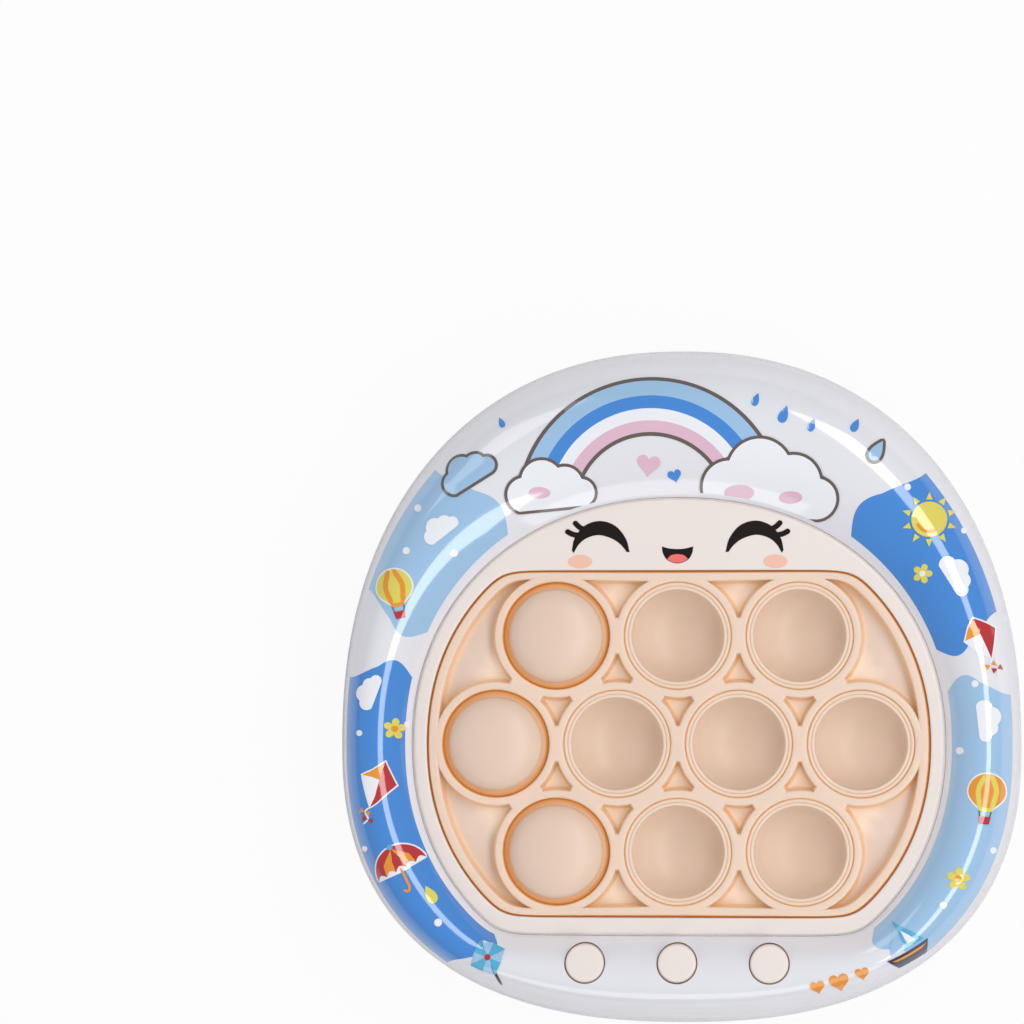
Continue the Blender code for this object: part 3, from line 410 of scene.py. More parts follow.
def joined(name: str, pieces: Sequence[bpy.types.Object]) -> bpy.types.Object:
    """One object of several, which are used up."""
    mesh = bmesh.new()
    for piece in pieces:
        mesh.from_mesh(piece.data)
        bpy.data.objects.remove(piece)
    data = bpy.data.meshes.new(name)
    mesh.to_mesh(data)
    mesh.free()
    whole = bpy.data.objects.new(name, data)
    bpy.context.scene.collection.objects.link(whole)
    return whole


def rounded(piece: bpy.types.Object, width: float, segments: int = 3,
            degrees: float = 40.0) -> bpy.types.Object:
    """Rounds the sharp edges of a piece."""
    bevel = piece.modifiers.new("edges", "BEVEL")
    bevel.width = width
    bevel.segments = segments
    bevel.limit_method = "ANGLE"
    bevel.angle_limit = math.radians(degrees)
    return evaluated(piece)


def dressed(piece: bpy.types.Object, name: str, material: bpy.types.Material, body: str,
            replaces: Iterable[str] = ()) -> bpy.types.Object:
    """Names a finished piece, gives it its material and hangs it on its body.

    Args:
        piece: Finished mesh object at the origin.
        name: Name of the piece.
        material: Its finish.
        body: Body that it rides on.
        replaces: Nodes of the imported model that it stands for.

    Returns:
        The piece.
    """
    piece.name = name
    piece.data.name = name
    piece.data.materials.clear()
    piece.data.materials.append(material)
    if body:
        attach(piece, body)
    if replaces:
        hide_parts(*replaces)
    log.info("%s: %d faces", name, len(piece.data.polygons))
    return piece


# Node groups


class NodeSheet:
    """Short way to place and join nodes in one tree."""

    def __init__(self, tree: bpy.types.NodeTree) -> None:
        """Starts on an empty tree."""
        self.tree = tree

    @classmethod
    def of(cls, owner: bpy.types.Material | bpy.types.World) -> "NodeSheet":
        """Sheet of a material or a world, with its nodes cleared."""
        owner.use_nodes = True
        owner.node_tree.nodes.clear()
        return cls(owner.node_tree)

    @classmethod
    def group(cls, kind: str, name: str, inputs: dict[str, str], outputs: dict[str, str]) -> tuple:
        """New node group with named sockets.

        Args:
            kind: Type of its tree.
            name: Name of the group.
            inputs: Type of each input by its label, as Blender names it after NodeSocket.
            outputs: The same of the outputs.

        Returns:
            Its sheet, its input node and its output node.
        """
        tree = bpy.data.node_groups.new(name, kind)
        for way, sockets in (("INPUT", inputs), ("OUTPUT", outputs)):
            for label, socket in sockets.items():
                tree.interface.new_socket(label, in_out=way, socket_type=f"NodeSocket{socket}")
        sheet = cls(tree)
        return sheet, sheet.add("NodeGroupInput"), sheet.add("NodeGroupOutput")

    def add(self, kind: str, inputs: dict | None = None, **settings: object) -> bpy.types.Node:
        """New node with some of its properties and inputs set."""
        node = self.tree.nodes.new(kind)
        for key, value in settings.items():
            setattr(node, key, value)
        return self.fill(node, inputs or {})

    def fill(self, node: bpy.types.Node, inputs: dict) -> bpy.types.Node:
        """Sets inputs of a node, each to a value or joined to a socket."""
        for key, value in inputs.items():
            if isinstance(value, bpy.types.NodeSocket):
                self.tree.links.new(value, node.inputs[key])
            else:
                node.inputs[key].default_value = value
        return node

    def attribute(self, name: str) -> bpy.types.NodeSocket:
        """Numbers that the mesh holds under a name."""
        return self.add("ShaderNodeAttribute", attribute_name=name).outputs["Fac"]

    def noise(self, coordinates: bpy.types.NodeSocket, scale: object, detail: float) -> bpy.types.NodeSocket:
        """Noise of a scale, a socket or a number, over coordinates."""
        inputs = {"Vector": coordinates, "Scale": scale, "Detail": detail}
        return self.add("ShaderNodeTexNoise", inputs).outputs["Fac"]

    def spread(self, value: bpy.types.NodeSocket, low: float, high: float, out_low: float,
               out_high: float) -> bpy.types.NodeSocket:
        """Maps a value from one range to another, held at both ends."""
        inputs = {"Value": value, "From Min": low, "From Max": high, "To Min": out_low, "To Max": out_high}
        return self.add("ShaderNodeMapRange", inputs).outputs["Result"]

    def sum(self, operation: str, first: bpy.types.NodeSocket, second: object) -> bpy.types.NodeSocket:
        """Arithmetic on a socket with a socket or a number."""
        return self.add("ShaderNodeMath", {0: first, 1: second}, operation=operation).outputs[0]

    def blend(self, share: bpy.types.NodeSocket, first: object, second: object) -> bpy.types.NodeSocket:
        """Mix of two colours, each a socket or a plain colour."""
        return self.add("ShaderNodeMix", {0: share, 6: first, 7: second}, data_type="RGBA").outputs[2]

    def end(self, share: bpy.types.NodeSocket, first: bpy.types.Node, second: bpy.types.Node,
            kind: str) -> None:
        """Ends a tree with the mix of two shaders in an output node of a kind."""
        mix = self.add("ShaderNodeMixShader", {0: share, 1: first.outputs[0], 2: second.outputs[0]})
        self.add(kind, {"Surface": mix.outputs[0]})


class NodeShapes:
    """Shapes that repeat or follow a path, each a geometry node group that is made once."""

    def __init__(self) -> None:
        """Builds the groups."""
        self.copies = self._copies()
        self.coils = self._coils()
        self.cords = self._cords()

    def _begin(self, name: str, **inputs: str) -> tuple:
        """Group that takes a mesh and named inputs and gives a mesh."""
        mesh = {"Geometry": "Geometry"}
        return NodeSheet.group("GeometryNodeTree", name, mesh | inputs, mesh)

    def _end(self, sheet: NodeSheet, given: bpy.types.Node, result: bpy.types.Node,
             shape: bpy.types.NodeSocket) -> bpy.types.NodeTree:
        """Ends a group: realized instances with the finish on them."""
        real = sheet.add("GeometryNodeRealizeInstances", {"Geometry": shape})
        inputs = {"Geometry": real.outputs["Geometry"], "Material": given.outputs["Finish"]}
        made = sheet.add("GeometryNodeSetMaterial", inputs)
        sheet.fill(result, {"Geometry": made.outputs["Geometry"]})
        return sheet.tree

    def _tube(self, sheet: NodeSheet, path: bpy.types.NodeSocket,
              radius: bpy.types.NodeSocket) -> bpy.types.NodeSocket:
        """A round tube with closed ends along a path."""
        ring = sheet.add("GeometryNodeCurvePrimitiveCircle", {"Resolution": 12, "Radius": radius})
        inputs = {"Curve": path, "Profile Curve": ring.outputs["Curve"], "Fill Caps": True}
        return sheet.add("GeometryNodeCurveToMesh", inputs).outputs["Mesh"]

    def _copies(self) -> bpy.types.NodeTree:
        """A model at each point, turned about the vertical by the point's turn attribute."""
        sheet, given, result = self._begin("CopiesAtPoints", Model="Object", Finish="Material")
        model = sheet.add("GeometryNodeObjectInfo", {"Object": given.outputs["Model"]})
        spin = sheet.add("GeometryNodeInputNamedAttribute", {"Name": "turn"}, data_type="FLOAT")
        turned = sheet.add("ShaderNodeCombineXYZ", {"Z": spin.outputs["Attribute"]})
        place = sheet.add("GeometryNodeInstanceOnPoints", {
            "Points": given.outputs["Geometry"], "Instance": model.outputs["Geometry"],
            "Rotation": turned.outputs["Vector"]})
        return self._end(sheet, given, result, place.outputs["Instances"])

    def _coils(self) -> bpy.types.NodeTree:
        """A coil spring that rises from each point."""
        sheet, given, result = self._begin("CoilsAtPoints", Turns="Float", Radius="Float", Height="Float",
                                           Wire="Float", Finish="Material")
        size = given.outputs
        spiral = sheet.add("GeometryNodeCurveSpiral", {
            "Resolution": 28, "Rotations": size["Turns"], "Start Radius": size["Radius"],
            "End Radius": size["Radius"], "Height": size["Height"]})
        tube = self._tube(sheet, spiral.outputs["Curve"], size["Wire"])
        place = sheet.add("GeometryNodeInstanceOnPoints", {"Points": size["Geometry"], "Instance": tube})
        return self._end(sheet, given, result, place.outputs["Instances"])

    def _cords(self) -> bpy.types.NodeTree:
        """A round cord along each path of the mesh."""
        sheet, given, result = self._begin("CordsOnPaths", Radius="Float", Finish="Material")
        path = sheet.add("GeometryNodeMeshToCurve", {"Mesh": given.outputs["Geometry"]})
        inputs = {"Curve": path.outputs["Curve"]}
        smooth = sheet.add("GeometryNodeCurveSplineType", inputs, spline_type="CATMULL_ROM")
        tube = self._tube(sheet, smooth.outputs["Curve"], given.outputs["Radius"])
        return self._end(sheet, given, result, tube)

    def apply(self, piece: bpy.types.Object, tree: bpy.types.NodeTree, **values: object) -> bpy.types.Object:
        """Runs a group over a piece and keeps the result as its mesh.

        Args:
            piece: Mesh of points or paths.
            tree: One of the groups.
            **values: Value of each input by its label.

        Returns:
            The piece with its new mesh.
        """
        modifier = piece.modifiers.new("shape", "NODES")
        modifier.node_group = tree
        sockets = {item.name: item.identifier for item in tree.interface.items_tree if item.in_out == "INPUT"}
        for label, value in values.items():
            modifier[sockets[label]] = value
        bpy.context.view_layer.update()
        return evaluated(piece)

    def repeat(self, model: bpy.types.Object, places: Sequence[Sequence[float]], finish: bpy.types.Material,
               turned: Sequence[float] = ()) -> bpy.types.Object:
        """Copies of a model, which is used up, at places."""
        piece = mesh_object("copies", places, ())
        paint(piece, turn=np.radians(turned) if len(turned) else np.zeros(len(places)))
        self.apply(piece, self.copies, Model=model, Finish=finish)
        bpy.data.objects.remove(model)
        return soften(piece, 40)


# Finishes


class EffectGroups:
    """Effects that several finishes share, each made once as a node group."""

    def __init__(self) -> None:
        """Builds the groups."""
        self.moulding = self._moulding()
        self.handling = self._handling()

    def _moulding(self) -> bpy.types.NodeTree:
        """Cloudy colour drift and fine skin of a moulded plastic."""
        inputs = {"Colour": "Color", "Drift": "Float", "Grain Scale": "Float"}
        outputs = {"Colour": "Color", "Height": "Float"}
        sheet, given, result = NodeSheet.group("ShaderNodeTree", "MouldedSkin", inputs, outputs)
        place = sheet.add("ShaderNodeTexCoord").outputs["Object"]
        cloud = sheet.noise(place, 38.0, 3.0)
        swing = sheet.sum("MULTIPLY", sheet.sum("SUBTRACT", cloud, 0.5), given.outputs["Drift"])
        bright = sheet.sum("ADD", swing, 1.0)
        tone = sheet.add("ShaderNodeHueSaturation", {"Color": given.outputs["Colour"], "Value": bright})
        grain = sheet.noise(place, given.outputs["Grain Scale"], 4.0)
        sheet.fill(result, {"Colour": tone.outputs["Color"], "Height": grain})
        return sheet.tree

    def _handling(self) -> bpy.types.NodeTree:
        """Roughness of a handled surface: faint smears and a few fine scuffs."""
        inputs, outputs = {"Roughness": "Float", "Smear": "Float", "Scuff": "Float"}, {"Roughness": "Float"}
        sheet, given, result = NodeSheet.group("ShaderNodeTree", "HandledGloss", inputs, outputs)
        place = sheet.add("ShaderNodeTexCoord").outputs["Object"]
        smear = sheet.spread(sheet.noise(place, 26.0, 5.0), 0.35, 0.75, 0.0, 1.0)
        wide = sheet.sum("MULTIPLY", smear, given.outputs["Smear"])
        inputs = {"Vector": place, "Scale": (900.0, 60.0, 900.0), "Rotation": (0.0, 0.0, 0.6)}
        stretch = sheet.add("ShaderNodeMapping", inputs)
        line = sheet.spread(sheet.noise(stretch.outputs["Vector"], 1.0, 2.0), 0.69, 0.74, 0.0, 1.0)
        fine = sheet.sum("MULTIPLY", line, given.outputs["Scuff"])
        total = sheet.sum("ADD", sheet.sum("ADD", given.outputs["Roughness"], wide), fine)
        sheet.fill(result, {"Roughness": total})
        return sheet.tree


@dataclass(frozen=True)
class Plastic:
    """A moulded or printed plastic finish."""

    name: str
    colour: tuple[float, float, float]
    roughness: float = 0.3
    coat: float = 0.0
    drift: float = 0.05
    grain_scale: float = 2200.0
    grain: float = 0.02
    smear: float = 0.04
    scuff: float = 0.06
    metallic: float = 0.0
    specular: float = 0.5
    coat_roughness: float = 0.05
    coat_index: float = 1.65
    grain_height: float = 0.0002

    def make(self, groups: EffectGroups) -> bpy.types.Material:
        """Builds the material from the shared groups."""
        material = bpy.data.materials.new(self.name)
        sheet = NodeSheet.of(material)
        inputs = {"Colour": linear(self.colour), "Drift": self.drift, "Grain Scale": self.grain_scale}
        skin = sheet.add("ShaderNodeGroup", inputs, node_tree=groups.moulding)
        inputs = {"Roughness": self.roughness, "Smear": self.smear, "Scuff": self.scuff}
        touch = sheet.add("ShaderNodeGroup", inputs, node_tree=groups.handling)
        inputs = {"Height": skin.outputs["Height"], "Strength": self.grain, "Distance": self.grain_height}
        bump = sheet.add("ShaderNodeBump", inputs)
        shader = sheet.add("ShaderNodeBsdfPrincipled", {
            "Base Color": self.tinted(sheet, skin.outputs["Colour"]), "Roughness": touch.outputs["Roughness"],
            "Normal": bump.outputs["Normal"], "Metallic": self.metallic, "Specular IOR Level": self.specular,
            "Coat Weight": self.coat, "Coat Roughness": self.coat_roughness, "Coat IOR": self.coat_index})
        sheet.add("ShaderNodeOutputMaterial", {"Surface": shader.outputs["BSDF"]})
        self.finish(sheet, shader)
        return material

    def tinted(self, sheet: NodeSheet, colour: bpy.types.NodeSocket) -> bpy.types.NodeSocket:
        """Colour of the plain plastic."""
        return colour

    def finish(self, sheet: NodeSheet, shader: bpy.types.Node) -> None:
        """A plain plastic sets nothing more on its shader."""


@dataclass(frozen=True)
class Silicone(Plastic):
    """Soft see-through silicone, with painted shade and glow: a pocket-floor tint, a darker thin-skin shade
    on the bubbles, amber and umber shade in its crevices, and emission that stands in for light coming
    through the skin.
    """

    # Painted shade and light: floor tints the pocket floors, thin is the darker shade of a thin bubble skin,
    # amber and umber are the crevice shade, and the three lights are emission that glows in narrow pockets
    # and in the crevices.
    floor: tuple[float, float, float] = (232, 212, 197)
    thin: tuple[float, float, float] = (214, 186, 163)
    amber: tuple[float, float, float] = (238, 186, 122)
    umber: tuple[float, float, float] = (190, 112, 48)
    floor_light: tuple[float, float, float, float] = (0.165, 0.135, 0.092, 1.0)
    amber_light: tuple[float, float, float, float] = (0.095, 0.066, 0.026, 1.0)
    umber_light: tuple[float, float, float, float] = (0.088, 0.036, 0.006, 1.0)
    subsurface: float = 0.14

    def _amounts(self, sheet: NodeSheet) -> tuple[bpy.types.NodeSocket, ...]:
        """Shares of the painted pocket tint, amber crevice shade and umber crevice shade by the attributes;
        the pocket share goes up to 2 in a narrow pocket, where painted light is added.
        """
        glow = sheet.attribute("glow")
        warm, deep = sheet.spread(glow, 0.0, 0.6, 0.0, 1.0), sheet.spread(glow, 0.6, 1.0, 0.0, 1.0)
        return sheet.attribute("hollow"), warm, deep

    def tinted(self, sheet: NodeSheet, colour: bpy.types.NodeSocket) -> bpy.types.NodeSocket:
        """Mixes in the painted shade: the darker thin-skin shade, the pocket-floor tint, and the amber and
        umber crevice shade.
        """
        hollow, warm, deep = self._amounts(sheet)
        skin = sheet.blend(sheet.attribute("thin"), colour, linear(self.thin))
        sunk = sheet.blend(hollow, skin, linear(self.floor))
        return sheet.blend(deep, sheet.blend(warm, sunk, linear(self.amber)), linear(self.umber))

    def finish(self, sheet: NodeSheet, shader: bpy.types.Node) -> None:
        """Lets some light through the skin by subsurface scattering, and adds a painted glow: emission in
        narrow pockets and in the crevices that stands in for light coming through the skin there.
        """
        hollow, warm, deep = self._amounts(sheet)
        narrow = sheet.spread(hollow, 1.0, 2.0, 0.0, 1.0)
        low = sheet.blend(narrow, (0.0, 0.0, 0.0, 1.0), self.floor_light)
        light = sheet.blend(deep, sheet.blend(warm, low, self.amber_light), self.umber_light)
        sheet.fill(shader, {
            "Emission Color": light, "Emission Strength": 1.0, "Subsurface Weight": self.subsurface,
            "Subsurface Radius": (1.0, 0.4, 0.2), "Subsurface Scale": 0.002})


@dataclass(frozen=True)
class Creamy(Plastic):
    """Cream plastic with a painted warm brown shade down in its seams, for the shadow and warm bounce light
    in the gaps.
    """

    # Painted shade: warm tan for the shadow and bounce light in the seams.
    seam: tuple[float, float, float] = (226, 176, 134)

    def tinted(self, sheet: NodeSheet, colour: bpy.types.NodeSocket) -> bpy.types.NodeSocket:
        """Mixes in the painted seam shade by the mesh's attribute for it."""
        return sheet.blend(sheet.attribute("seam"), colour, linear(self.seam))


@dataclass(frozen=True)
class TwoTone(Plastic):
    """Sleeve or cover with a second colour and bare metal where the mesh says so."""

    second: tuple[float, float, float] = (40, 40, 44)
    bare: tuple[float, float, float] = (190, 190, 192)

    def tinted(self, sheet: NodeSheet, colour: bpy.types.NodeSocket) -> bpy.types.NodeSocket:
        """Mixes in the second colour and the metal by the band and metal attributes."""
        band = sheet.spread(sheet.attribute("band"), 0.49, 0.51, 0.0, 1.0)
        sleeve = sheet.blend(band, colour, linear(self.second))
        return sheet.blend(sheet.attribute("metal"), sleeve, linear(self.bare))

    def finish(self, sheet: NodeSheet, shader: bpy.types.Node) -> None:
        """Shines like metal where it is bare."""
        sheet.fill(shader, {"Metallic": sheet.attribute("metal")})


@dataclass(frozen=True)
class CircuitBoard(Plastic):
    """Green board with a lighter net of tracks."""

    track: tuple[float, float, float] = (70, 130, 75)

    def tinted(self, sheet: NodeSheet, colour: bpy.types.NodeSocket) -> bpy.types.NodeSocket:
        """Draws the tracks as the borders of a square net."""
        inputs = {"Vector": sheet.add("ShaderNodeTexCoord").outputs["Object"], "Scale": 170.0}
        cells = sheet.add("ShaderNodeTexVoronoi", inputs, feature="DISTANCE_TO_EDGE")
        lines = sheet.spread(cells.outputs["Distance"], 0.02, 0.06, 1.0, 0.0)
        return sheet.blend(lines, colour, linear(self.track))


class Finishes:
    """All materials of the toy, each made once."""

    def __init__(self) -> None:
        """Builds the shared groups and the materials."""
        groups = EffectGroups()
        shell = Plastic("shell_gloss", (231, 231, 237), 0.12, 1.0, 0.02, 900.0, 0.006, 0.03, 0.05)
        cream = Creamy("cream_satin", (235, 225, 219), 0.34, 0.0, 0.03, 2600.0, 0.03, 0.05, 0.06)
        self.shell, self.cream = shell.make(groups), cream.make(groups)
        gloss = (0.12, 1.0, 0.05, 3200.0, 0.008, 0.03, 0.05)
        self.ink = {ink: Plastic(f"ink_{ink.name.lower()}", ink.value, *gloss).make(groups) for ink in Ink}
        matt = (0.45, 0.0, 0.05, 3200.0, 0.01, 0.04, 0.0)
        self.matt_ink = {}
        for ink in (Ink.BLACK, Ink.CORAL, Ink.BLUSH):
            finish = Plastic(f"matt_{ink.name.lower()}", ink.value, *matt, specular=0.15)
            self.matt_ink[ink] = finish.make(groups)
        peach = Silicone("peach_silicone", (236, 211, 191), 0.37, 0.0, 0.04, 3000.0, 0.02, 0.06, 0.0)
        self.silicone = peach.make(groups)
        self.inner = Plastic("inner_plastic", (196, 196, 200), 0.5, grain=0.08).make(groups)
        self.board = CircuitBoard("circuit_board", (34, 88, 50), 0.4, grain=0.03).make(groups)
        self.dark = Plastic("dark_plastic", (34, 34, 38), 0.45, grain=0.06).make(groups)
        self.milky = Plastic("milky_cap", (232, 232, 226), 0.35, specular=0.4).make(groups)
        steel = Plastic("plated_steel", (186, 186, 188), 0.28, 0.0, 0.08, 1800.0, 0.04, 0.1, 0.12, 1.0)
        self.steel = steel.make(groups)
        self.rubber = Plastic("foot_rubber", (62, 62, 66), 0.8, grain=0.15, grain_scale=1400.0).make(groups)
        self.cell = TwoTone("cell_sleeve", (52, 112, 84), 0.25, second=(226, 226, 220)).make(groups)
        self.lead = TwoTone("lead_cover", (176, 32, 36), 0.45).make(groups)


# Printing on the ring and the bezel


@dataclass(frozen=True)
class Patch:
    """One flat area of ink, as an outline in millimetres seen from above."""

    ink: Ink
    layer: int
    outline: np.ndarray

    def placed(self, x: float, y: float, degrees: float = 0.0, scale: float = 1.0,
               raise_by: int = 0) -> "Patch":
        """The patch turned, scaled and moved."""
        a = math.radians(degrees)
        turn = np.array(((math.cos(a), -math.sin(a)), (math.sin(a), math.cos(a)))) * scale
        return Patch(self.ink, self.layer + raise_by, self.outline @ turn.T + np.array((x, y)))


def inside(points: np.ndarray, outline: np.ndarray) -> np.ndarray:
    """Which points lie inside a closed outline."""
    x, y = points[:, 0][:, None], points[:, 1][:, None]
    x1, y1 = outline[:, 0][None], outline[:, 1][None]
    x2, y2 = np.roll(outline[:, 0], -1)[None], np.roll(outline[:, 1], -1)[None]
    crosses = (y1 > y) != (y2 > y)
    rise = np.where(y2 == y1, 1e-12, y2 - y1)
    return (crosses & (x < (x2 - x1) * (y - y1) / rise + x1)).sum(axis=1) % 2 == 1


class Draw:
    """Outlines of simple shapes, in millimetres round the origin."""

    @staticmethod
    def ellipse(width: float, height: float, count: int = 36) -> np.ndarray:
        """Ellipse of a full width and height."""
        return circle(turns(count)) * (width / 2, height / 2)

    @staticmethod
    def disc(diameter: float) -> np.ndarray:
        """Round spot."""
        return Draw.ellipse(diameter, diameter, 28)

    @staticmethod
    def polar(reach: Callable[[np.ndarray], np.ndarray], count: int = 120) -> np.ndarray:
        """Closed outline from a distance at each angle."""
        angle = turns(count)
        return circle(angle) * reach(angle)[:, None]

    @staticmethod
    def cloud(width: float, grow: float = 0.0) -> np.ndarray:
        """Cloud of four lobes on a flat base, of a width before it is grown."""
        lobes = ((-0.3, -0.02, 0.2), (-0.08, 0.12, 0.24), (0.18, 0.06, 0.2), (0.36, -0.05, 0.15))
        floor = -0.2 * width - grow

        def reach(a: np.ndarray) -> np.ndarray:
            far = np.full_like(a, 0.05 * width)
            for cx, cy, r in lobes:
                along = (cx * np.cos(a) + cy * np.sin(a)) * width
                off = (-cx * np.sin(a) + cy * np.cos(a)) * width
                under = (r * width + grow) ** 2 - off**2
                far = np.maximum(far, np.where(under > 0, along + np.sqrt(np.maximum(under, 0)), 0))
            base = np.where(np.sin(a) < -0.02, floor / np.minimum(np.sin(a), -0.02), 1e3)
            across = base * np.cos(a) / width
            below = (base < 1e3) & (across > -0.3) & (across < 0.36)
            return np.where(below, base, np.minimum(far, base))

        return Draw.polar(reach, 144)

    @staticmethod
    def petals(size: float, count: int = 5, waist: float = 0.42) -> np.ndarray:
        """Blossom of round petals."""
        def reach(a: np.ndarray) -> np.ndarray:
            return size / 2 * (waist + (1 - waist) * np.abs(np.cos(a * count / 2)) ** 0.7)

        return Draw.polar(reach, 120)

    @staticmethod
    def band(inner: float, outer: float, start: float, end: float, count: int = 60) -> np.ndarray:
        """Part of a ring between two angles in degrees."""
        ring = circle(np.radians(np.linspace(start, end, count)))
        return np.concatenate((ring * outer, ring[::-1] * inner))

    @staticmethod
    def drop(size: float) -> np.ndarray:
        """Raindrop with its point up."""
        a = turns(48)
        x = size * 0.36 * np.sin(a) * np.sin(a / 2) ** 1.2
        return np.stack((x, size / 2 * np.cos(a)), axis=1)

    @staticmethod
    def heart(size: float) -> np.ndarray:
        """Heart."""
        a = turns(48)
        x = 16 * np.sin(a) ** 3
        y = 13 * np.cos(a) - 5 * np.cos(2 * a) - 2 * np.cos(3 * a) - np.cos(4 * a)
        return np.stack((x, y), axis=1) * (size / 32)

    @staticmethod
    def line(points: Sequence[tuple[float, float]], width: float, taper: bool = False) -> np.ndarray:
        """Pen line of a width through points, smoothed, with round or pointed ends."""
        path = np.array(points, float)
        steps = np.linspace(0, len(path) - 1, len(path) * 6)
        fine = np.stack([np.interp(steps, np.arange(len(path)), path[:, k]) for k in (0, 1)], axis=1)
        for _ in range(6):
            fine[1:-1] = (fine[:-2] + 2 * fine[1:-1] + fine[2:]) / 4
        along = np.gradient(fine, axis=0)
        along /= np.linalg.norm(along, axis=1)[:, None]
        normal = np.stack((-along[:, 1], along[:, 0]), axis=1)
        share = np.linspace(0, 1, len(fine))
        blunt = np.sqrt(np.clip(1 - np.abs(2 * share - 1) ** 8, 0.02, 1))
        half = width / 2 * (1 - 0.9 * share if taper else blunt)
        left, right = fine + normal * half[:, None], fine - normal * half[:, None]
        return np.concatenate((left, right[::-1]))

    @staticmethod
    def curve(points: Sequence[tuple[float, float]], steps: int = 8) -> np.ndarray:
        """Smooth open curve through points."""
        p = np.array(points, float)
        p = np.concatenate((p[:1] * 2 - p[1:2], p, p[-1:] * 2 - p[-2:-1]))
        t = np.linspace(0, 1, steps, endpoint=False)[:, None]
        parts = []
        for a, b, c, d in zip(p, p[1:], p[2:], p[3:]):
            square, cube = 2 * a - 5 * b + 4 * c - d, 3 * b - a - 3 * c + d
            parts.append(0.5 * (2 * b + (c - a) * t + square * t**2 + cube * t**3))
        return np.concatenate(parts + [p[-2:-1]])

    @staticmethod
    def grown(outline: np.ndarray, by: float) -> np.ndarray:
        """Outline moved outwards by a distance."""
        before, after = np.roll(outline, 1, axis=0), np.roll(outline, -1, axis=0)
        along = after - before
        normal = np.stack((along[:, 1], -along[:, 0]), axis=1)
        normal /= np.maximum(np.linalg.norm(normal, axis=1)[:, None], 1e-9)
        x, y = outline[:, 0], outline[:, 1]
        area = (x * np.roll(y, -1) - np.roll(x, -1) * y).sum()
        return outline + normal * (by if area > 0 else -by)


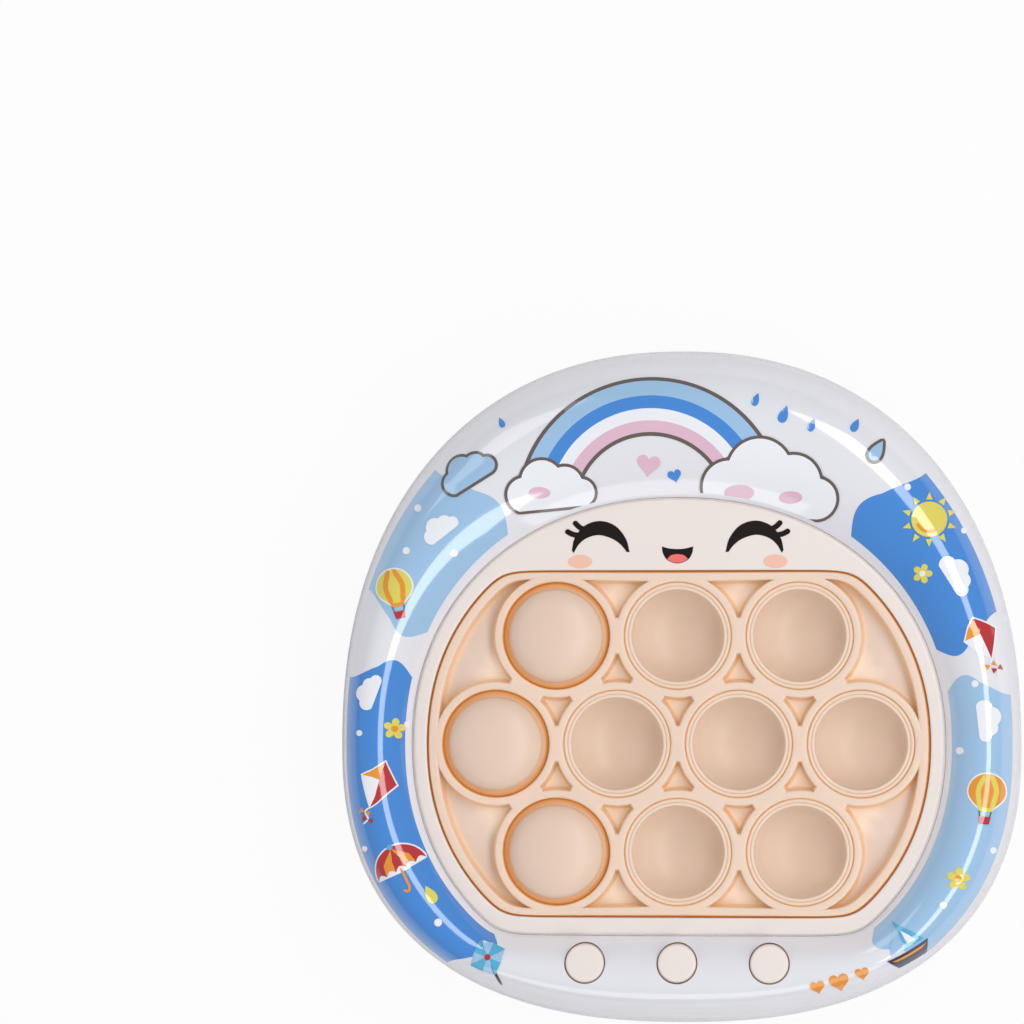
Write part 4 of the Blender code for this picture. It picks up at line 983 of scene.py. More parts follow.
class Motifs:
    """Plain sky pictures for the print, each as patches round the origin."""

    edge: float = 0.7

    def outlined(self, ink: Ink, outline: np.ndarray, layer: int = 2) -> list[Patch]:
        """Shape with a brown pen line round it."""
        return [Patch(Ink.BROWN, layer, Draw.grown(outline, self.edge)), Patch(ink, layer + 1, outline)]

    def cloud(self, width: float, ink: Ink, layer: int = 2, pen: bool = False) -> list[Patch]:
        """Cloud, with or without a pen line."""
        body = Patch(ink, layer + 1, Draw.cloud(width))
        return [Patch(Ink.BROWN, layer, Draw.cloud(width, self.edge)), body] if pen else [body]

    def balloon(self, main: Ink, stripe: Ink, basket: Ink) -> list[Patch]:
        """Hot-air balloon, 9 mm wide and 13 mm high."""
        a = turns(64)
        y = 4.4 * np.sin(a)
        x = 4.4 * np.cos(a) * np.where(y < 0, 1 - 0.34 * (y / 4.4) ** 2, 1)
        bag = np.stack((x, y + 1.6), axis=1)
        parts = [Patch(Ink.WHITE, 2, Draw.grown(bag, 0.4)), Patch(main, 3, bag)]
        for side in (-1, 1):
            path = ((side * 0.6, 5.9), (side * 2.3, 2), (side * 1.3, -2.6))
            parts.append(Patch(stripe, 4, Draw.line(path, 1.2)))
        parts.append(Patch(stripe, 4, np.array(((-1.7, -3.1), (1.7, -3.1), (1.4, -2.2), (-1.4, -2.2)))))
        for side in (-1, 1):
            parts.append(Patch(Ink.BROWN, 3, Draw.line(((side * 1.5, -3), (side * 1.1, -4.6)), 0.26)))
        parts.append(Patch(basket, 4, np.array(((-1.4, -4.4), (1.4, -4.4), (1.1, -6.2), (-1.1, -6.2)))))
        return parts

    def kite(self) -> list[Patch]:
        """Diamond kite with crossed sticks and a tail, 8 mm wide and 15 mm high."""
        top, right, foot, left = (0, 6.6), (4.0, 2.2), (0, -4.4), (-4.0, 2.2)
        middle = (0, 2.2)
        parts = [Patch(Ink.WHITE, 2, Draw.grown(np.array((foot, right, top, left), float), 0.5))]
        for ink, corners in ((Ink.RED, (middle, right, top)), (Ink.ORANGE, (middle, top, left)),
                             (Ink.WHITE, (middle, left, foot)), (Ink.RED, (middle, foot, right))):
            parts.append(Patch(ink, 3, np.array(corners, float)))
        tail = ((0, -4.4), (-1.0, -5.8), (0.6, -7.2), (-0.4, -8.8))
        parts.append(Patch(Ink.WHITE, 3, Draw.line(tail, 0.4)))
        for x, y, ink in ((-0.8, -5.9, Ink.ORANGE), (0.3, -7.4, Ink.RED)):
            bow = np.array(((0, 0), (1.2, 0.7), (1.2, -0.7), (0, 0.1), (-1.2, -0.7), (-1.2, 0.7)))
            parts.append(Patch(ink, 4, bow + np.array((x, y))))
        return parts

    def umbrella(self) -> list[Patch]:
        """Umbrella of five panels, 14 mm wide."""
        dome = Draw.band(0.01, 6.8, 4, 176, 60)
        edge = [(6.8 - 2.72 * i, 0.35) for i in range(6)]
        scallops = []
        for (x1, y1), (x2, _) in zip(edge, edge[1:]):
            t = np.linspace(0, 1, 10)[:-1]
            scallops += [(x1 + (x2 - x1) * s, y1 + 1.0 * math.sin(math.pi * s)) for s in t]
        arc = circle(np.radians(np.linspace(177, 3, 50))) * 6.8
        cover = np.concatenate((arc, np.array(scallops)))
        parts = [Patch(Ink.WHITE, 2, Draw.grown(dome, 0.4)), Patch(Ink.RED, 3, cover)]
        for x1, x2 in ((-4.08, -1.36), (1.36, 4.08)):
            panel = [(x1, 0.6), (x1 * 0.86, 3.2), (0, 6.4), (x2 * 0.86, 3.2), (x2, 0.6), ((x1 + x2) / 2, 1.4)]
            parts.append(Patch(Ink.ORANGE, 4, np.array(panel)))
        parts.append(Patch(Ink.CYAN, 5, Draw.disc(1.5) + np.array((0, 6.9))))
        parts.append(Patch(Ink.ORANGE, 3, Draw.line(((0, 0.8), (0, -4.6), (-0.9, -5.6), (-1.9, -4.6)), 0.7)))
        return parts

    def sun(self) -> list[Patch]:
        """Sun with short rays, 13 mm wide."""
        parts = [Patch(Ink.YELLOW, 3, Draw.disc(8.2))]
        for step in range(10):
            ray = np.array(((-0.75, 4.6), (0.75, 4.6), (0.0, 6.4)))
            parts.append(Patch(Ink.YELLOW, 3, ray).placed(0, 0, step * 36))
        parts.append(Patch(Ink.ORANGE, 4, Draw.band(2.5, 3.2, 200, 300, 20)))
        return parts

    def flower(self, petals: Ink, heart: Ink, size: float = 5.0) -> list[Patch]:
        """Blossom with a round heart."""
        return [Patch(petals, 2, Draw.petals(size)), Patch(heart, 3, Draw.disc(size * 0.3))]

    def pinwheel(self) -> list[Patch]:
        """Pinwheel of four sails on a stick, 10 mm wide."""
        parts = [Patch(Ink.NAVY, 2, Draw.line(((0, 0), (0.2, -7.6)), 0.6))]
        for step in range(4):
            dark = np.array(((0, 0), (4.6, 0.0), (2.5, 2.5)))
            light = np.array(((0, 0), (2.5, 2.5), (0.2, 4.3)))
            parts.append(Patch(Ink.CYAN, 3, dark).placed(0, 0, step * 90))
            parts.append(Patch(Ink.SKY, 3, light).placed(0, 0, step * 90))
        parts.append(Patch(Ink.RED, 4, Draw.disc(1.5)))
        return parts

    def sailboat(self) -> list[Patch]:
        """Small boat with two sails, 13 mm wide."""
        hull = np.array(((-5.4, -1.2), (5.8, -1.2), (3.8, -4.0), (-3.8, -4.0)))
        stripe = hull * np.array((0.86, 0.22)) + np.array((0.1, -1.5))
        parts = [Patch(Ink.NAVY, 3, hull), Patch(Ink.ORANGE, 4, stripe)]
        parts.append(Patch(Ink.CYAN, 3, np.array(((0.4, -0.6), (0.4, 6.4), (5.0, -0.6)))))
        parts.append(Patch(Ink.WHITE, 4, np.array(((1.1, 0.2), (1.1, 3.6), (3.2, 0.2)))))
        parts.append(Patch(Ink.SKY, 3, np.array(((-0.4, -0.6), (-0.4, 4.6), (-4.0, -0.6)))))
        return parts

    def rainbow(self) -> list[Patch]:
        """Wide arch of soft bands with an outlined cloud at each foot, the right one large."""
        parts = [Patch(Ink.BROWN, 1, Draw.band(17.6, 31.4, 1, 168.3, 160))]
        stripes = ((Ink.SKY, 27.0, 30.5), (Ink.BLUE, 24.0, 27.0), (Ink.WHITE, 21.2, 24.0),
                   (Ink.PINK, 18.5, 21.2))
        for ink, inner, outer in stripes:
            parts.append(Patch(ink, 2, Draw.band(inner, outer, 1.5, 168, 160)))
        parts += [p.placed(-23.5, 5.0, 6) for p in self.cloud(20, Ink.WHITE, 3, pen=True)]
        parts += [p.placed(27.5, 5.5, -5) for p in self.cloud(31, Ink.WHITE, 3, pen=True)]
        for x, y, width, height in ((-26.0, 4.6, 5.0, 2.6), (20.5, 4.6, 7.0, 3.6), (32.5, 3.4, 5.5, 2.8)):
            parts.append(Patch(Ink.PINK, 5, Draw.ellipse(width, height)).placed(x, y, 0))
        return parts


@dataclass
class Canvas:
    """Surface that ink lies on, flattened to two coordinates in metres."""

    toy: ToyOutline
    film: float = 0.00006
    step: float = 0.0011

    def flatten(self, outline: np.ndarray) -> np.ndarray:
        """Flat coordinates of points seen from above."""
        return outline

    def limits(self) -> tuple[float, float]:
        """Lowest and highest second coordinate that may be printed on."""
        return -1.0, 1.0

    def lift(self, flat: np.ndarray, height: float) -> np.ndarray:
        """Points on the surface, raised above it by a height."""
        return np.column_stack((flat, np.full(len(flat), self.toy.top_z + height)))


@dataclass
class CrownCanvas(Canvas):
    """The ring of the front shell, unrolled by angle and place along its section."""

    unit_angle: float = 0.072
    unit_travel: float = 0.0155
    start: float = 0.07
    stop: float = 1.9

    def flatten(self, outline: np.ndarray) -> np.ndarray:
        """Unrolled coordinates of points seen from above."""
        angle, travel = self.toy.crown_travel(outline[:, 0], outline[:, 1])
        middle = math.atan2(outline[:, 1].mean() - self.toy.centre_y, outline[:, 0].mean())
        angle = middle + (angle - middle + math.pi) % (2 * math.pi) - math.pi
        return np.column_stack((angle * self.unit_angle, travel * self.unit_travel))

    def limits(self) -> tuple[float, float]:
        """The ink stops short of the ring's inner edge and of the split."""
        return self.start * self.unit_travel, self.stop * self.unit_travel

    def lift(self, flat: np.ndarray, height: float) -> np.ndarray:
        """Points on the ring, raised along its normal."""
        angle, travel = flat[:, 0] / self.unit_angle, flat[:, 1] / self.unit_travel
        point = self.toy.crown_point(angle, travel)
        surface, near = self.toy.crown_point, 1e-4
        turn = surface(angle + near, travel) - surface(angle - near, travel)
        fall = surface(angle, np.minimum(travel + near, 2)) - surface(angle, travel - near)
        normal = np.cross(fall, turn)
        normal /= np.linalg.norm(normal, axis=1)[:, None]
        return point + normal * height


def clipped(outline: np.ndarray, low: float, high: float) -> np.ndarray:
    """Outline cut off below and above two levels of its second coordinate."""
    for level, side in ((low, 1), (high, -1)):
        kept = []
        for first, second in zip(outline, np.roll(outline, -1, axis=0)):
            a, b = side * (first[1] - level), side * (second[1] - level)
            if a >= 0:
                kept.append(first)
            if (a >= 0) != (b >= 0):
                kept.append(first + (second - first) * (a / (a - b)))
        outline = np.array(kept)
        if len(outline) < 3:
            return outline
    return outline


class Printer:
    """Lays patches of ink on a canvas as thin closed films, one piece for each colour."""

    def __init__(self, canvas: Canvas, inks: dict[Ink, bpy.types.Material], slot: str, title: str) -> None:
        """Starts with no ink."""
        self.canvas, self.inks, self.slot, self.title = canvas, inks, slot, title
        self.corners: dict[Ink, list] = {}
        self.faces: dict[Ink, list] = {}

    def film(self, patch: Patch, flat_given: bool = False) -> None:
        """Adds the film of one patch.

        Args:
            patch: Ink, layer and outline.
            flat_given: The outline is already in the canvas's flat coordinates.
        """
        outline = patch.outline if flat_given else self.canvas.flatten(patch.outline * MM)
        outline = clipped(self._dense(outline), *self.canvas.limits())
        if len(outline) < 3:
            return
        step = self.canvas.step
        low, high = outline.min(axis=0), outline.max(axis=0)
        lines = [np.arange(low[axis], high[axis], step) for axis in (0, 1)]
        grid = np.stack(np.meshgrid(*lines), -1).reshape(-1, 2)
        if len(grid):
            grid = grid[inside(grid, outline)]
        if len(grid):
            gap = np.min(np.linalg.norm(grid[:, None] - outline[None], axis=2), axis=1)
            grid = grid[gap > step * 0.45]
        points = [Vector(p) for p in np.concatenate((outline, grid))]
        count = len(outline)
        edges = [(i, (i + 1) % count) for i in range(count)]
        flat, triangles, middle = triangulated(points, edges, 1e-7)
        kept = [t for t, keep in zip(triangles, inside(middle, outline)) if keep]
        film = self.canvas.film
        top = self.canvas.lift(flat, film * (patch.layer + 1))
        base = self.canvas.lift(flat, -film)
        corners = self.corners.setdefault(patch.ink, [])
        self.faces.setdefault(patch.ink, []).extend(slab(kept, len(flat), len(corners)))
        corners += list(top) + list(base)

    def _dense(self, outline: np.ndarray) -> np.ndarray:
        """Outline with no edge longer than the canvas's step and no repeated corner."""
        dense = []
        for first, second in zip(outline, np.roll(outline, -1, axis=0)):
            length = float(np.linalg.norm(second - first))
            if length < 2e-6:
                continue
            parts = max(1, math.ceil(length / self.canvas.step))
            dense += [first + (second - first) * (i / parts) for i in range(parts)]
        return np.array(dense)

    def build(self, body: str) -> None:
        """Makes the piece of each colour."""
        for ink, corners in self.corners.items():
            piece = mesh_object(ink.name, corners, self.faces[ink])
            soften(trimmed(piece), 40)
            dressed(piece, f"{self.title}_{ink.name.lower()}", self.inks[ink], body)


# Sub-assemblies


def numbered(start: str, count: int) -> list[str]:
    """Names that end in a number, from 1 on."""
    return [f"{start}_{number}" for number in range(1, count + 1)]


def middles(start: str) -> list[tuple[float, float]]:
    """Places in the plan of the four nodes whose names have one start."""
    boxes = [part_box(name) for name in numbered(start, 4)]
    return [((low[0] + high[0]) / 2, (low[1] + high[1]) / 2) for low, high in boxes]


@dataclass
class FrontShell:
    """Glossy ring shell with its three button holes and its screw bosses."""

    toy: ToyOutline
    finishes: Finishes
    rays: int = 288
    wall: float = 0.002
    skirt_wall: float = 0.0012
    skirt_z: float = 0.0308
    lip_round: float = 0.00045
    hole_radius: float = 0.00475
    hole_y: float = -0.0643
    hole_pitch: float = 0.0214
    boss_radius: float = 0.0045
    boss_bore: float = 0.0016
    boss_top: float = 0.030

    def build(self) -> bpy.types.Object:
        """Lofts the shell, adds its screw bosses and sinks the holes."""
        toy, angle = self.toy, turns(self.rays)
        rows = []
        places = np.concatenate((np.linspace(2, 1, 34), np.linspace(1, 0.06, 20)[1:]))
        for travel in places:
            rows.append(toy.crown_point(angle, np.full_like(angle, travel)))
        rows += self._lip(angle)
        rows += self._lining(angle)
        shell = loft("front_shell_skin", rows, closed=True)
        places = middles("case_screw")
        rods = [rod(self.boss_radius, toy.front_z, toy.crest_z, x, y, 40) for x, y in places]
        bosses = joined("bosses", rods)
        boolean(shell, "UNION", [boolean(bosses, "INTERSECT", [self._core(angle)])])
        cutters = [rod(self.hole_radius, self.skirt_z, 0.043, step * self.hole_pitch, self.hole_y, 64)
                   for step in (-1, 0, 1)]
        cutters += [rod(self.boss_bore, toy.split_z, self.boss_top, x, y, 24) for x, y in places]
        boolean(shell, "DIFFERENCE", cutters)
        soften(shell, 40)
        dressed(shell, "front_shell_skin", self.finishes.shell, Body.CASE.value, ["front_shell"])
        return shell

    def _core(self, angle: np.ndarray) -> bpy.types.Object:
        """Solid ring that fills the shell to the middle of its wall."""
        toy, rows = self.toy, []
        for travel in np.linspace(1.95, 0.1, 24):
            rows.append(toy.crown_point(angle, np.full_like(angle, travel)) - np.array((0, 0, self.wall / 2)))
        rows.append(toy.ring(angle, toy.rim(angle) + self.skirt_wall, toy.front_z))
        rows.append(toy.ring(angle, toy.case(angle) - self.wall / 2, toy.front_z))
        return loft("core", rows, closed=True)

    def _lip(self, angle: np.ndarray) -> list[np.ndarray]:
        """Rounded inner edge and the skirt under it."""
        toy = self.toy
        rim, rows = toy.rim(angle), []
        edge_z = float(toy.crown_section(np.array([0.0]))[1][0])
        for turn in np.linspace(0.15, 1, 6) * math.pi / 2:
            reach = rim + self.lip_round * (1 - math.sin(turn))
            height = edge_z - self.lip_round * (1 - math.cos(turn)) + 0.0003 * (1 - math.sin(turn))
            rows.append(toy.ring(angle, reach, height))
        rows.append(toy.ring(angle, rim, self.skirt_z))
        rows.append(toy.ring(angle, rim + self.skirt_wall, self.skirt_z))
        return rows

    def _lining(self, angle: np.ndarray) -> list[np.ndarray]:
        """Inner face of the ring, from the skirt out to the split."""
        toy, rows = self.toy, []
        outer, inner = toy.case(angle) - self.wall, toy.rim(angle) + self.skirt_wall
        for travel in np.concatenate((np.linspace(0.1, 1, 8), np.linspace(1.1, 2, 12))):
            share, height = toy.crown_section(np.array([travel]))
            lift = (float(height[0]) - toy.front_z) / (toy.crest_z - toy.front_z)
            reach = outer + (inner - outer) * float(share[0])
            rows.append(toy.ring(angle, reach, float(height[0]) - self.wall * lift))
        return rows


@dataclass
class SkyPrint:
    """Printed panels and sky pictures on the ring."""

    toy: ToyOutline
    finishes: Finishes
    inner: float = 0.16
    outer: float = 1.5
    wave: float = 0.011

    def build(self) -> None:
        """Prints the panels, then the pictures over them."""
        canvas = CrownCanvas(self.toy)
        printer = Printer(canvas, self.finishes.ink, "printed_shell", "print")
        panels = ((Ink.SKY, 129, 156), (Ink.BLUE, 166, 226), (Ink.BLUE, 20, 50), (Ink.SKY, -43, 11))
        for ink, start, end in panels:
            panel = self._panel(canvas, math.radians(start), math.radians(end))
            printer.film(Patch(ink, 0, panel), flat_given=True)
        for patch in self._pictures():
            printer.film(patch)
        printer.build(Body.CASE.value)

    def _panel(self, canvas: CrownCanvas, start: float, end: float) -> np.ndarray:
        """Panel between two angles, with cloud-like ends, in the canvas's flat coordinates."""
        across = np.linspace(self.inner, self.outer, 40)
        bulge = np.sin((across - self.inner) / (self.outer - self.inner) * math.pi * 1.5) * self.wave
        along = np.linspace(start, end, 60)
        first = np.column_stack((start - bulge * 4, across))
        last = np.column_stack((end + bulge * 4, across))
        top = np.column_stack((along, np.full_like(along, self.outer)))
        low = np.column_stack((along, np.full_like(along, self.inner)))
        loop = np.concatenate((first, top[1:-1], last[::-1], low[::-1][1:-1]))
        return loop * np.array((canvas.unit_angle, canvas.unit_travel))

    def _pictures(self) -> list[Patch]:
        """Every picture at its place on the ring."""
        art, parts = Motifs(), []

        def put(patches: list[Patch], x: float, y: float, degrees: float = 0, scale: float = 1) -> None:
            parts.extend(p.placed(x, y, degrees, scale) for p in patches)

        put(art.rainbow(), -6, 40.5)
        put([Patch(Ink.PINK, 2, Draw.heart(5.4))], -6.5, 51.5, -8)
        put([Patch(Ink.BLUE, 2, Draw.heart(3.2))], -0.5, 49.0, 14)
        for x, y, size in ((18.5, 66.5, 3.2), (25.0, 63.0, 4.2), (31.5, 60.5, 3.2)):
            put([Patch(Ink.BLUE, 2, Draw.drop(size))], x, y, -20)
        put(art.outlined(Ink.SKY, Draw.cloud(13)), -48.5, 49.5, 32)
        put(art.cloud(9, Ink.WHITE), -55, 36.5, 38)
        put(art.balloon(Ink.YELLOW, Ink.ORANGE, Ink.RED), -65.5, 21.5, 12, 0.95)
        for x, y in ((-60.5, 41.5), (-52, 31), (-63, 31.5)):
            put([Patch(Ink.WHITE, 2, Draw.disc(1.7))], x, y)
        put(art.cloud(8.5, Ink.WHITE), -71.5, -1.5, 70)
        put(art.flower(Ink.YELLOW, Ink.ORANGE), -66, -10, 10)
        put(art.kite(), -70, -24, -18)
        put(art.umbrella(), -64, -43, 28, 0.9)
        for x, y, size in ((-63, -9, 1.9), (-74, -11, 1.4), (-59, -34, 1.5), (-55.5, -55, 1.8),
                           (-73, -38, 1.4)):
            put([Patch(Ink.WHITE, 2, Draw.disc(size))], x, y)
        put([Patch(Ink.YELLOW, 2, Draw.drop(4.6))], -57.5, -48.5, 30)
        put(art.pinwheel(), -44, -63, 24, 0.95)
        put(art.outlined(Ink.SKY, Draw.drop(5.2)), 46.5, 54.5, -30)
        put([Patch(Ink.BLUE, 2, Draw.drop(3.4))], 41.5, 60.5, -25)
        put([Patch(Ink.BLUE, 2, Draw.drop(2.6))], -41, 61.5, 25)
        put(art.sun(), 58.5, 38.5, 0, 1.0)
        put(art.cloud(10, Ink.WHITE), 64.5, 25.5, -58)
        put(art.flower(Ink.YELLOW, Ink.WHITE, 4.6), 57, 26, 0)
        put(art.kite(), 71, 10, 24, 0.92)
        put(art.cloud(9.5, Ink.WHITE), 71.5, -8, -84)
        put(art.balloon(Ink.ORANGE, Ink.YELLOW, Ink.RED), 71.5, -26, -6, 0.95)
        put(art.flower(Ink.YELLOW, Ink.ORANGE, 5.4), 65, -44.5, 12)
        for x, y, size in ((69, 0.5, 1.6), (65.5, -15, 1.7), (73, -38, 1.5), (61.5, -50.5, 1.6),
                           (53.5, 46, 1.6), (66.5, 36, 1.4)):
            put([Patch(Ink.WHITE, 2, Draw.disc(size))], x, y)
        put(art.sailboat(), 52.5, -60, 30, 0.95)
        for x, y, size in ((32.5, -69.5, 3.4), (37.5, -68.3, 4.6), (42.8, -66.3, 3.2)):
            put([Patch(Ink.ORANGE, 2, Draw.heart(size))], x, y, 12)
        return parts


@dataclass
class FaceBezel:
    """Cream bezel round the bubble sheet, with its printed smile."""

    toy: ToyOutline
    finishes: Finishes
    rays: int = 288
    bottom_z: float = 0.0288
    outer_round: float = 0.0008
    inner_round: float = 0.0005
    wall: float = 0.0014
    skin: float = 0.002
    step: float = 0.0007
    step_out: float = 0.00024
    flange: float = 0.0024
    flange_depth: float = 0.0014

    def build(self) -> None:
        """Lofts the bezel and prints the face."""
        toy, angle = self.toy, turns(self.rays)
        outer, inner = toy.bezel(angle), toy.opening(angle)
        rib = np.minimum(self.wall, 0.4 * (outer - inner))
        flange_z = self.bottom_z + self.flange_depth
        curve = [(1 - math.cos(t), 1 - math.sin(t)) for t in np.linspace(0, math.pi / 2, 7)]
        rows = [(inner, self.bottom_z)]
        rows += [(inner + self.inner_round * c, toy.top_z - self.inner_round * s) for c, s in curve]
        rows += [(inner + (outer - inner) * s, toy.top_z) for s in (0.3, 0.5, 0.7)]
        rows += [(outer - self.outer_round * s, toy.top_z - self.outer_round * c) for c, s in curve]
        rows += [(outer, toy.top_z - self.step), (outer + self.step_out, toy.top_z - self.step - 0.0001)]
        rows += [(outer + self.step_out, flange_z), (outer + self.flange, flange_z)]
        rows += [(outer + self.flange, self.bottom_z)]
        rows += [(outer - rib, self.bottom_z), (outer - rib, toy.top_z - self.skin)]
        rows += [(inner + rib, toy.top_z - self.skin), (inner + rib, self.bottom_z)]
        made = [toy.ring(angle, reach, height) for reach, height in rows]
        bezel = soften(loft("bezel", made, closed=True), 40)
        # Painted shade: every face below the top's rounded edge, down in the gaps to the shell and the sheet,
        # gets the warm seam shade.
        heights = np.array([corner.co.z for corner in bezel.data.vertices])
        paint(bezel, seam=heights < toy.top_z - self.outer_round - 0.0001)
        dressed(bezel, "face_bezel_skin", self.finishes.cream, Body.CASE.value, ["face_bezel"])
        self._print_face()

    def _print_face(self) -> None:
        """Two laughing eyes with lashes, an open mouth and blushing cheeks."""
        canvas = Canvas(self.toy, film=0.00003, step=0.0016)
        printer = Printer(canvas, self.finishes.matt_ink, "cream", "face_print")
        for side in (-1, 1):
            for patch in self._eye():
                flip = patch.outline * np.array((side, 1.0))
                printer.film(Patch(patch.ink, patch.layer, flip))
        lips = Draw.curve(((-3.65, 32.5), (-3.4, 30.9), (-2.3, 29.3), (0, 28.55), (2.3, 29.3), (3.4, 30.9),
                           (3.65, 32.5)))
        brim = Draw.curve(((3.65, 32.5), (1.9, 32.05), (0, 31.9), (-1.9, 32.05), (-3.65, 32.5)))
        printer.film(Patch(Ink.BLACK, 1, np.concatenate((lips[:-1], brim[:-1]))))
        tip = Draw.curve(((2.45, 29.55), (1.5, 30.45), (0, 30.7), (-1.5, 30.45), (-2.45, 29.55)))
        base = Draw.curve(((-2.45, 29.55), (-1.3, 28.9), (0, 28.72), (1.3, 28.9), (2.45, 29.55)))
        printer.film(Patch(Ink.CORAL, 2, np.concatenate((tip[:-1], base[:-1]))))
        printer.build(Body.CASE.value)

    def _eye(self) -> list[Patch]:
        """Right eye: a thick arch tapered to both ends, two short lashes and a cheek."""
        upper = Draw.curve(((11.2, 31.2), (12.1, 34.4), (14.6, 37.4), (18.2, 38.5), (21.7, 37.4),
                            (24.0, 34.6), (24.8, 31.2)))
        lower = Draw.curve(((24.3, 31.0), (23.1, 33.0), (21.2, 34.5), (18.4, 35.2), (15.4, 34.4),
                            (13.2, 32.9), (11.7, 31.0)))
        eye = [Patch(Ink.BLACK, 2, np.concatenate((upper[:-1], lower[:-1])))]
        for layer, start, end in ((3, (21.2, 36.2), (24.3, 38.4)), (4, (22.6, 35.0), (26.2, 36.3))):
            first, last = np.array(start), np.array(end)
            bend = (first + last) / 2 + np.array((0.25, -0.25))
            eye.append(Patch(Ink.BLACK, layer, Draw.line((first, bend, last), 1.25)))
        eye.append(Patch(Ink.BLUSH, 1, Draw.ellipse(5.7, 3.2) + np.array((22.8, 29.0))))
        return eye


@dataclass
class BubbleGrid:
    """Places and sizes that the sheet and its bubbles share."""

    centre_y: float = -0.0135
    pitch_x: float = 0.0284
    pitch_y: float = 0.0252
    bore: float = 0.01255
    ring: float = 0.01445
    counts: tuple[int, ...] = (3, 4, 3)
    raised: tuple[int, ...] = (1, 4, 8)

    def places(self) -> list[tuple[float, float]]:
        """Centres of the bubbles, row by row from the upper left."""
        found = []
        for row, count in enumerate(self.counts):
            for column in range(count):
                x = (column - (count - 1) / 2) * self.pitch_x
                found.append((x, self.centre_y + (1 - row) * self.pitch_y))
        return found

    def gaps(self, points: np.ndarray) -> np.ndarray:
        """Distance of each point from each bubble's centre."""
        return np.linalg.norm(points[:, None] - np.array(self.places())[None], axis=2)


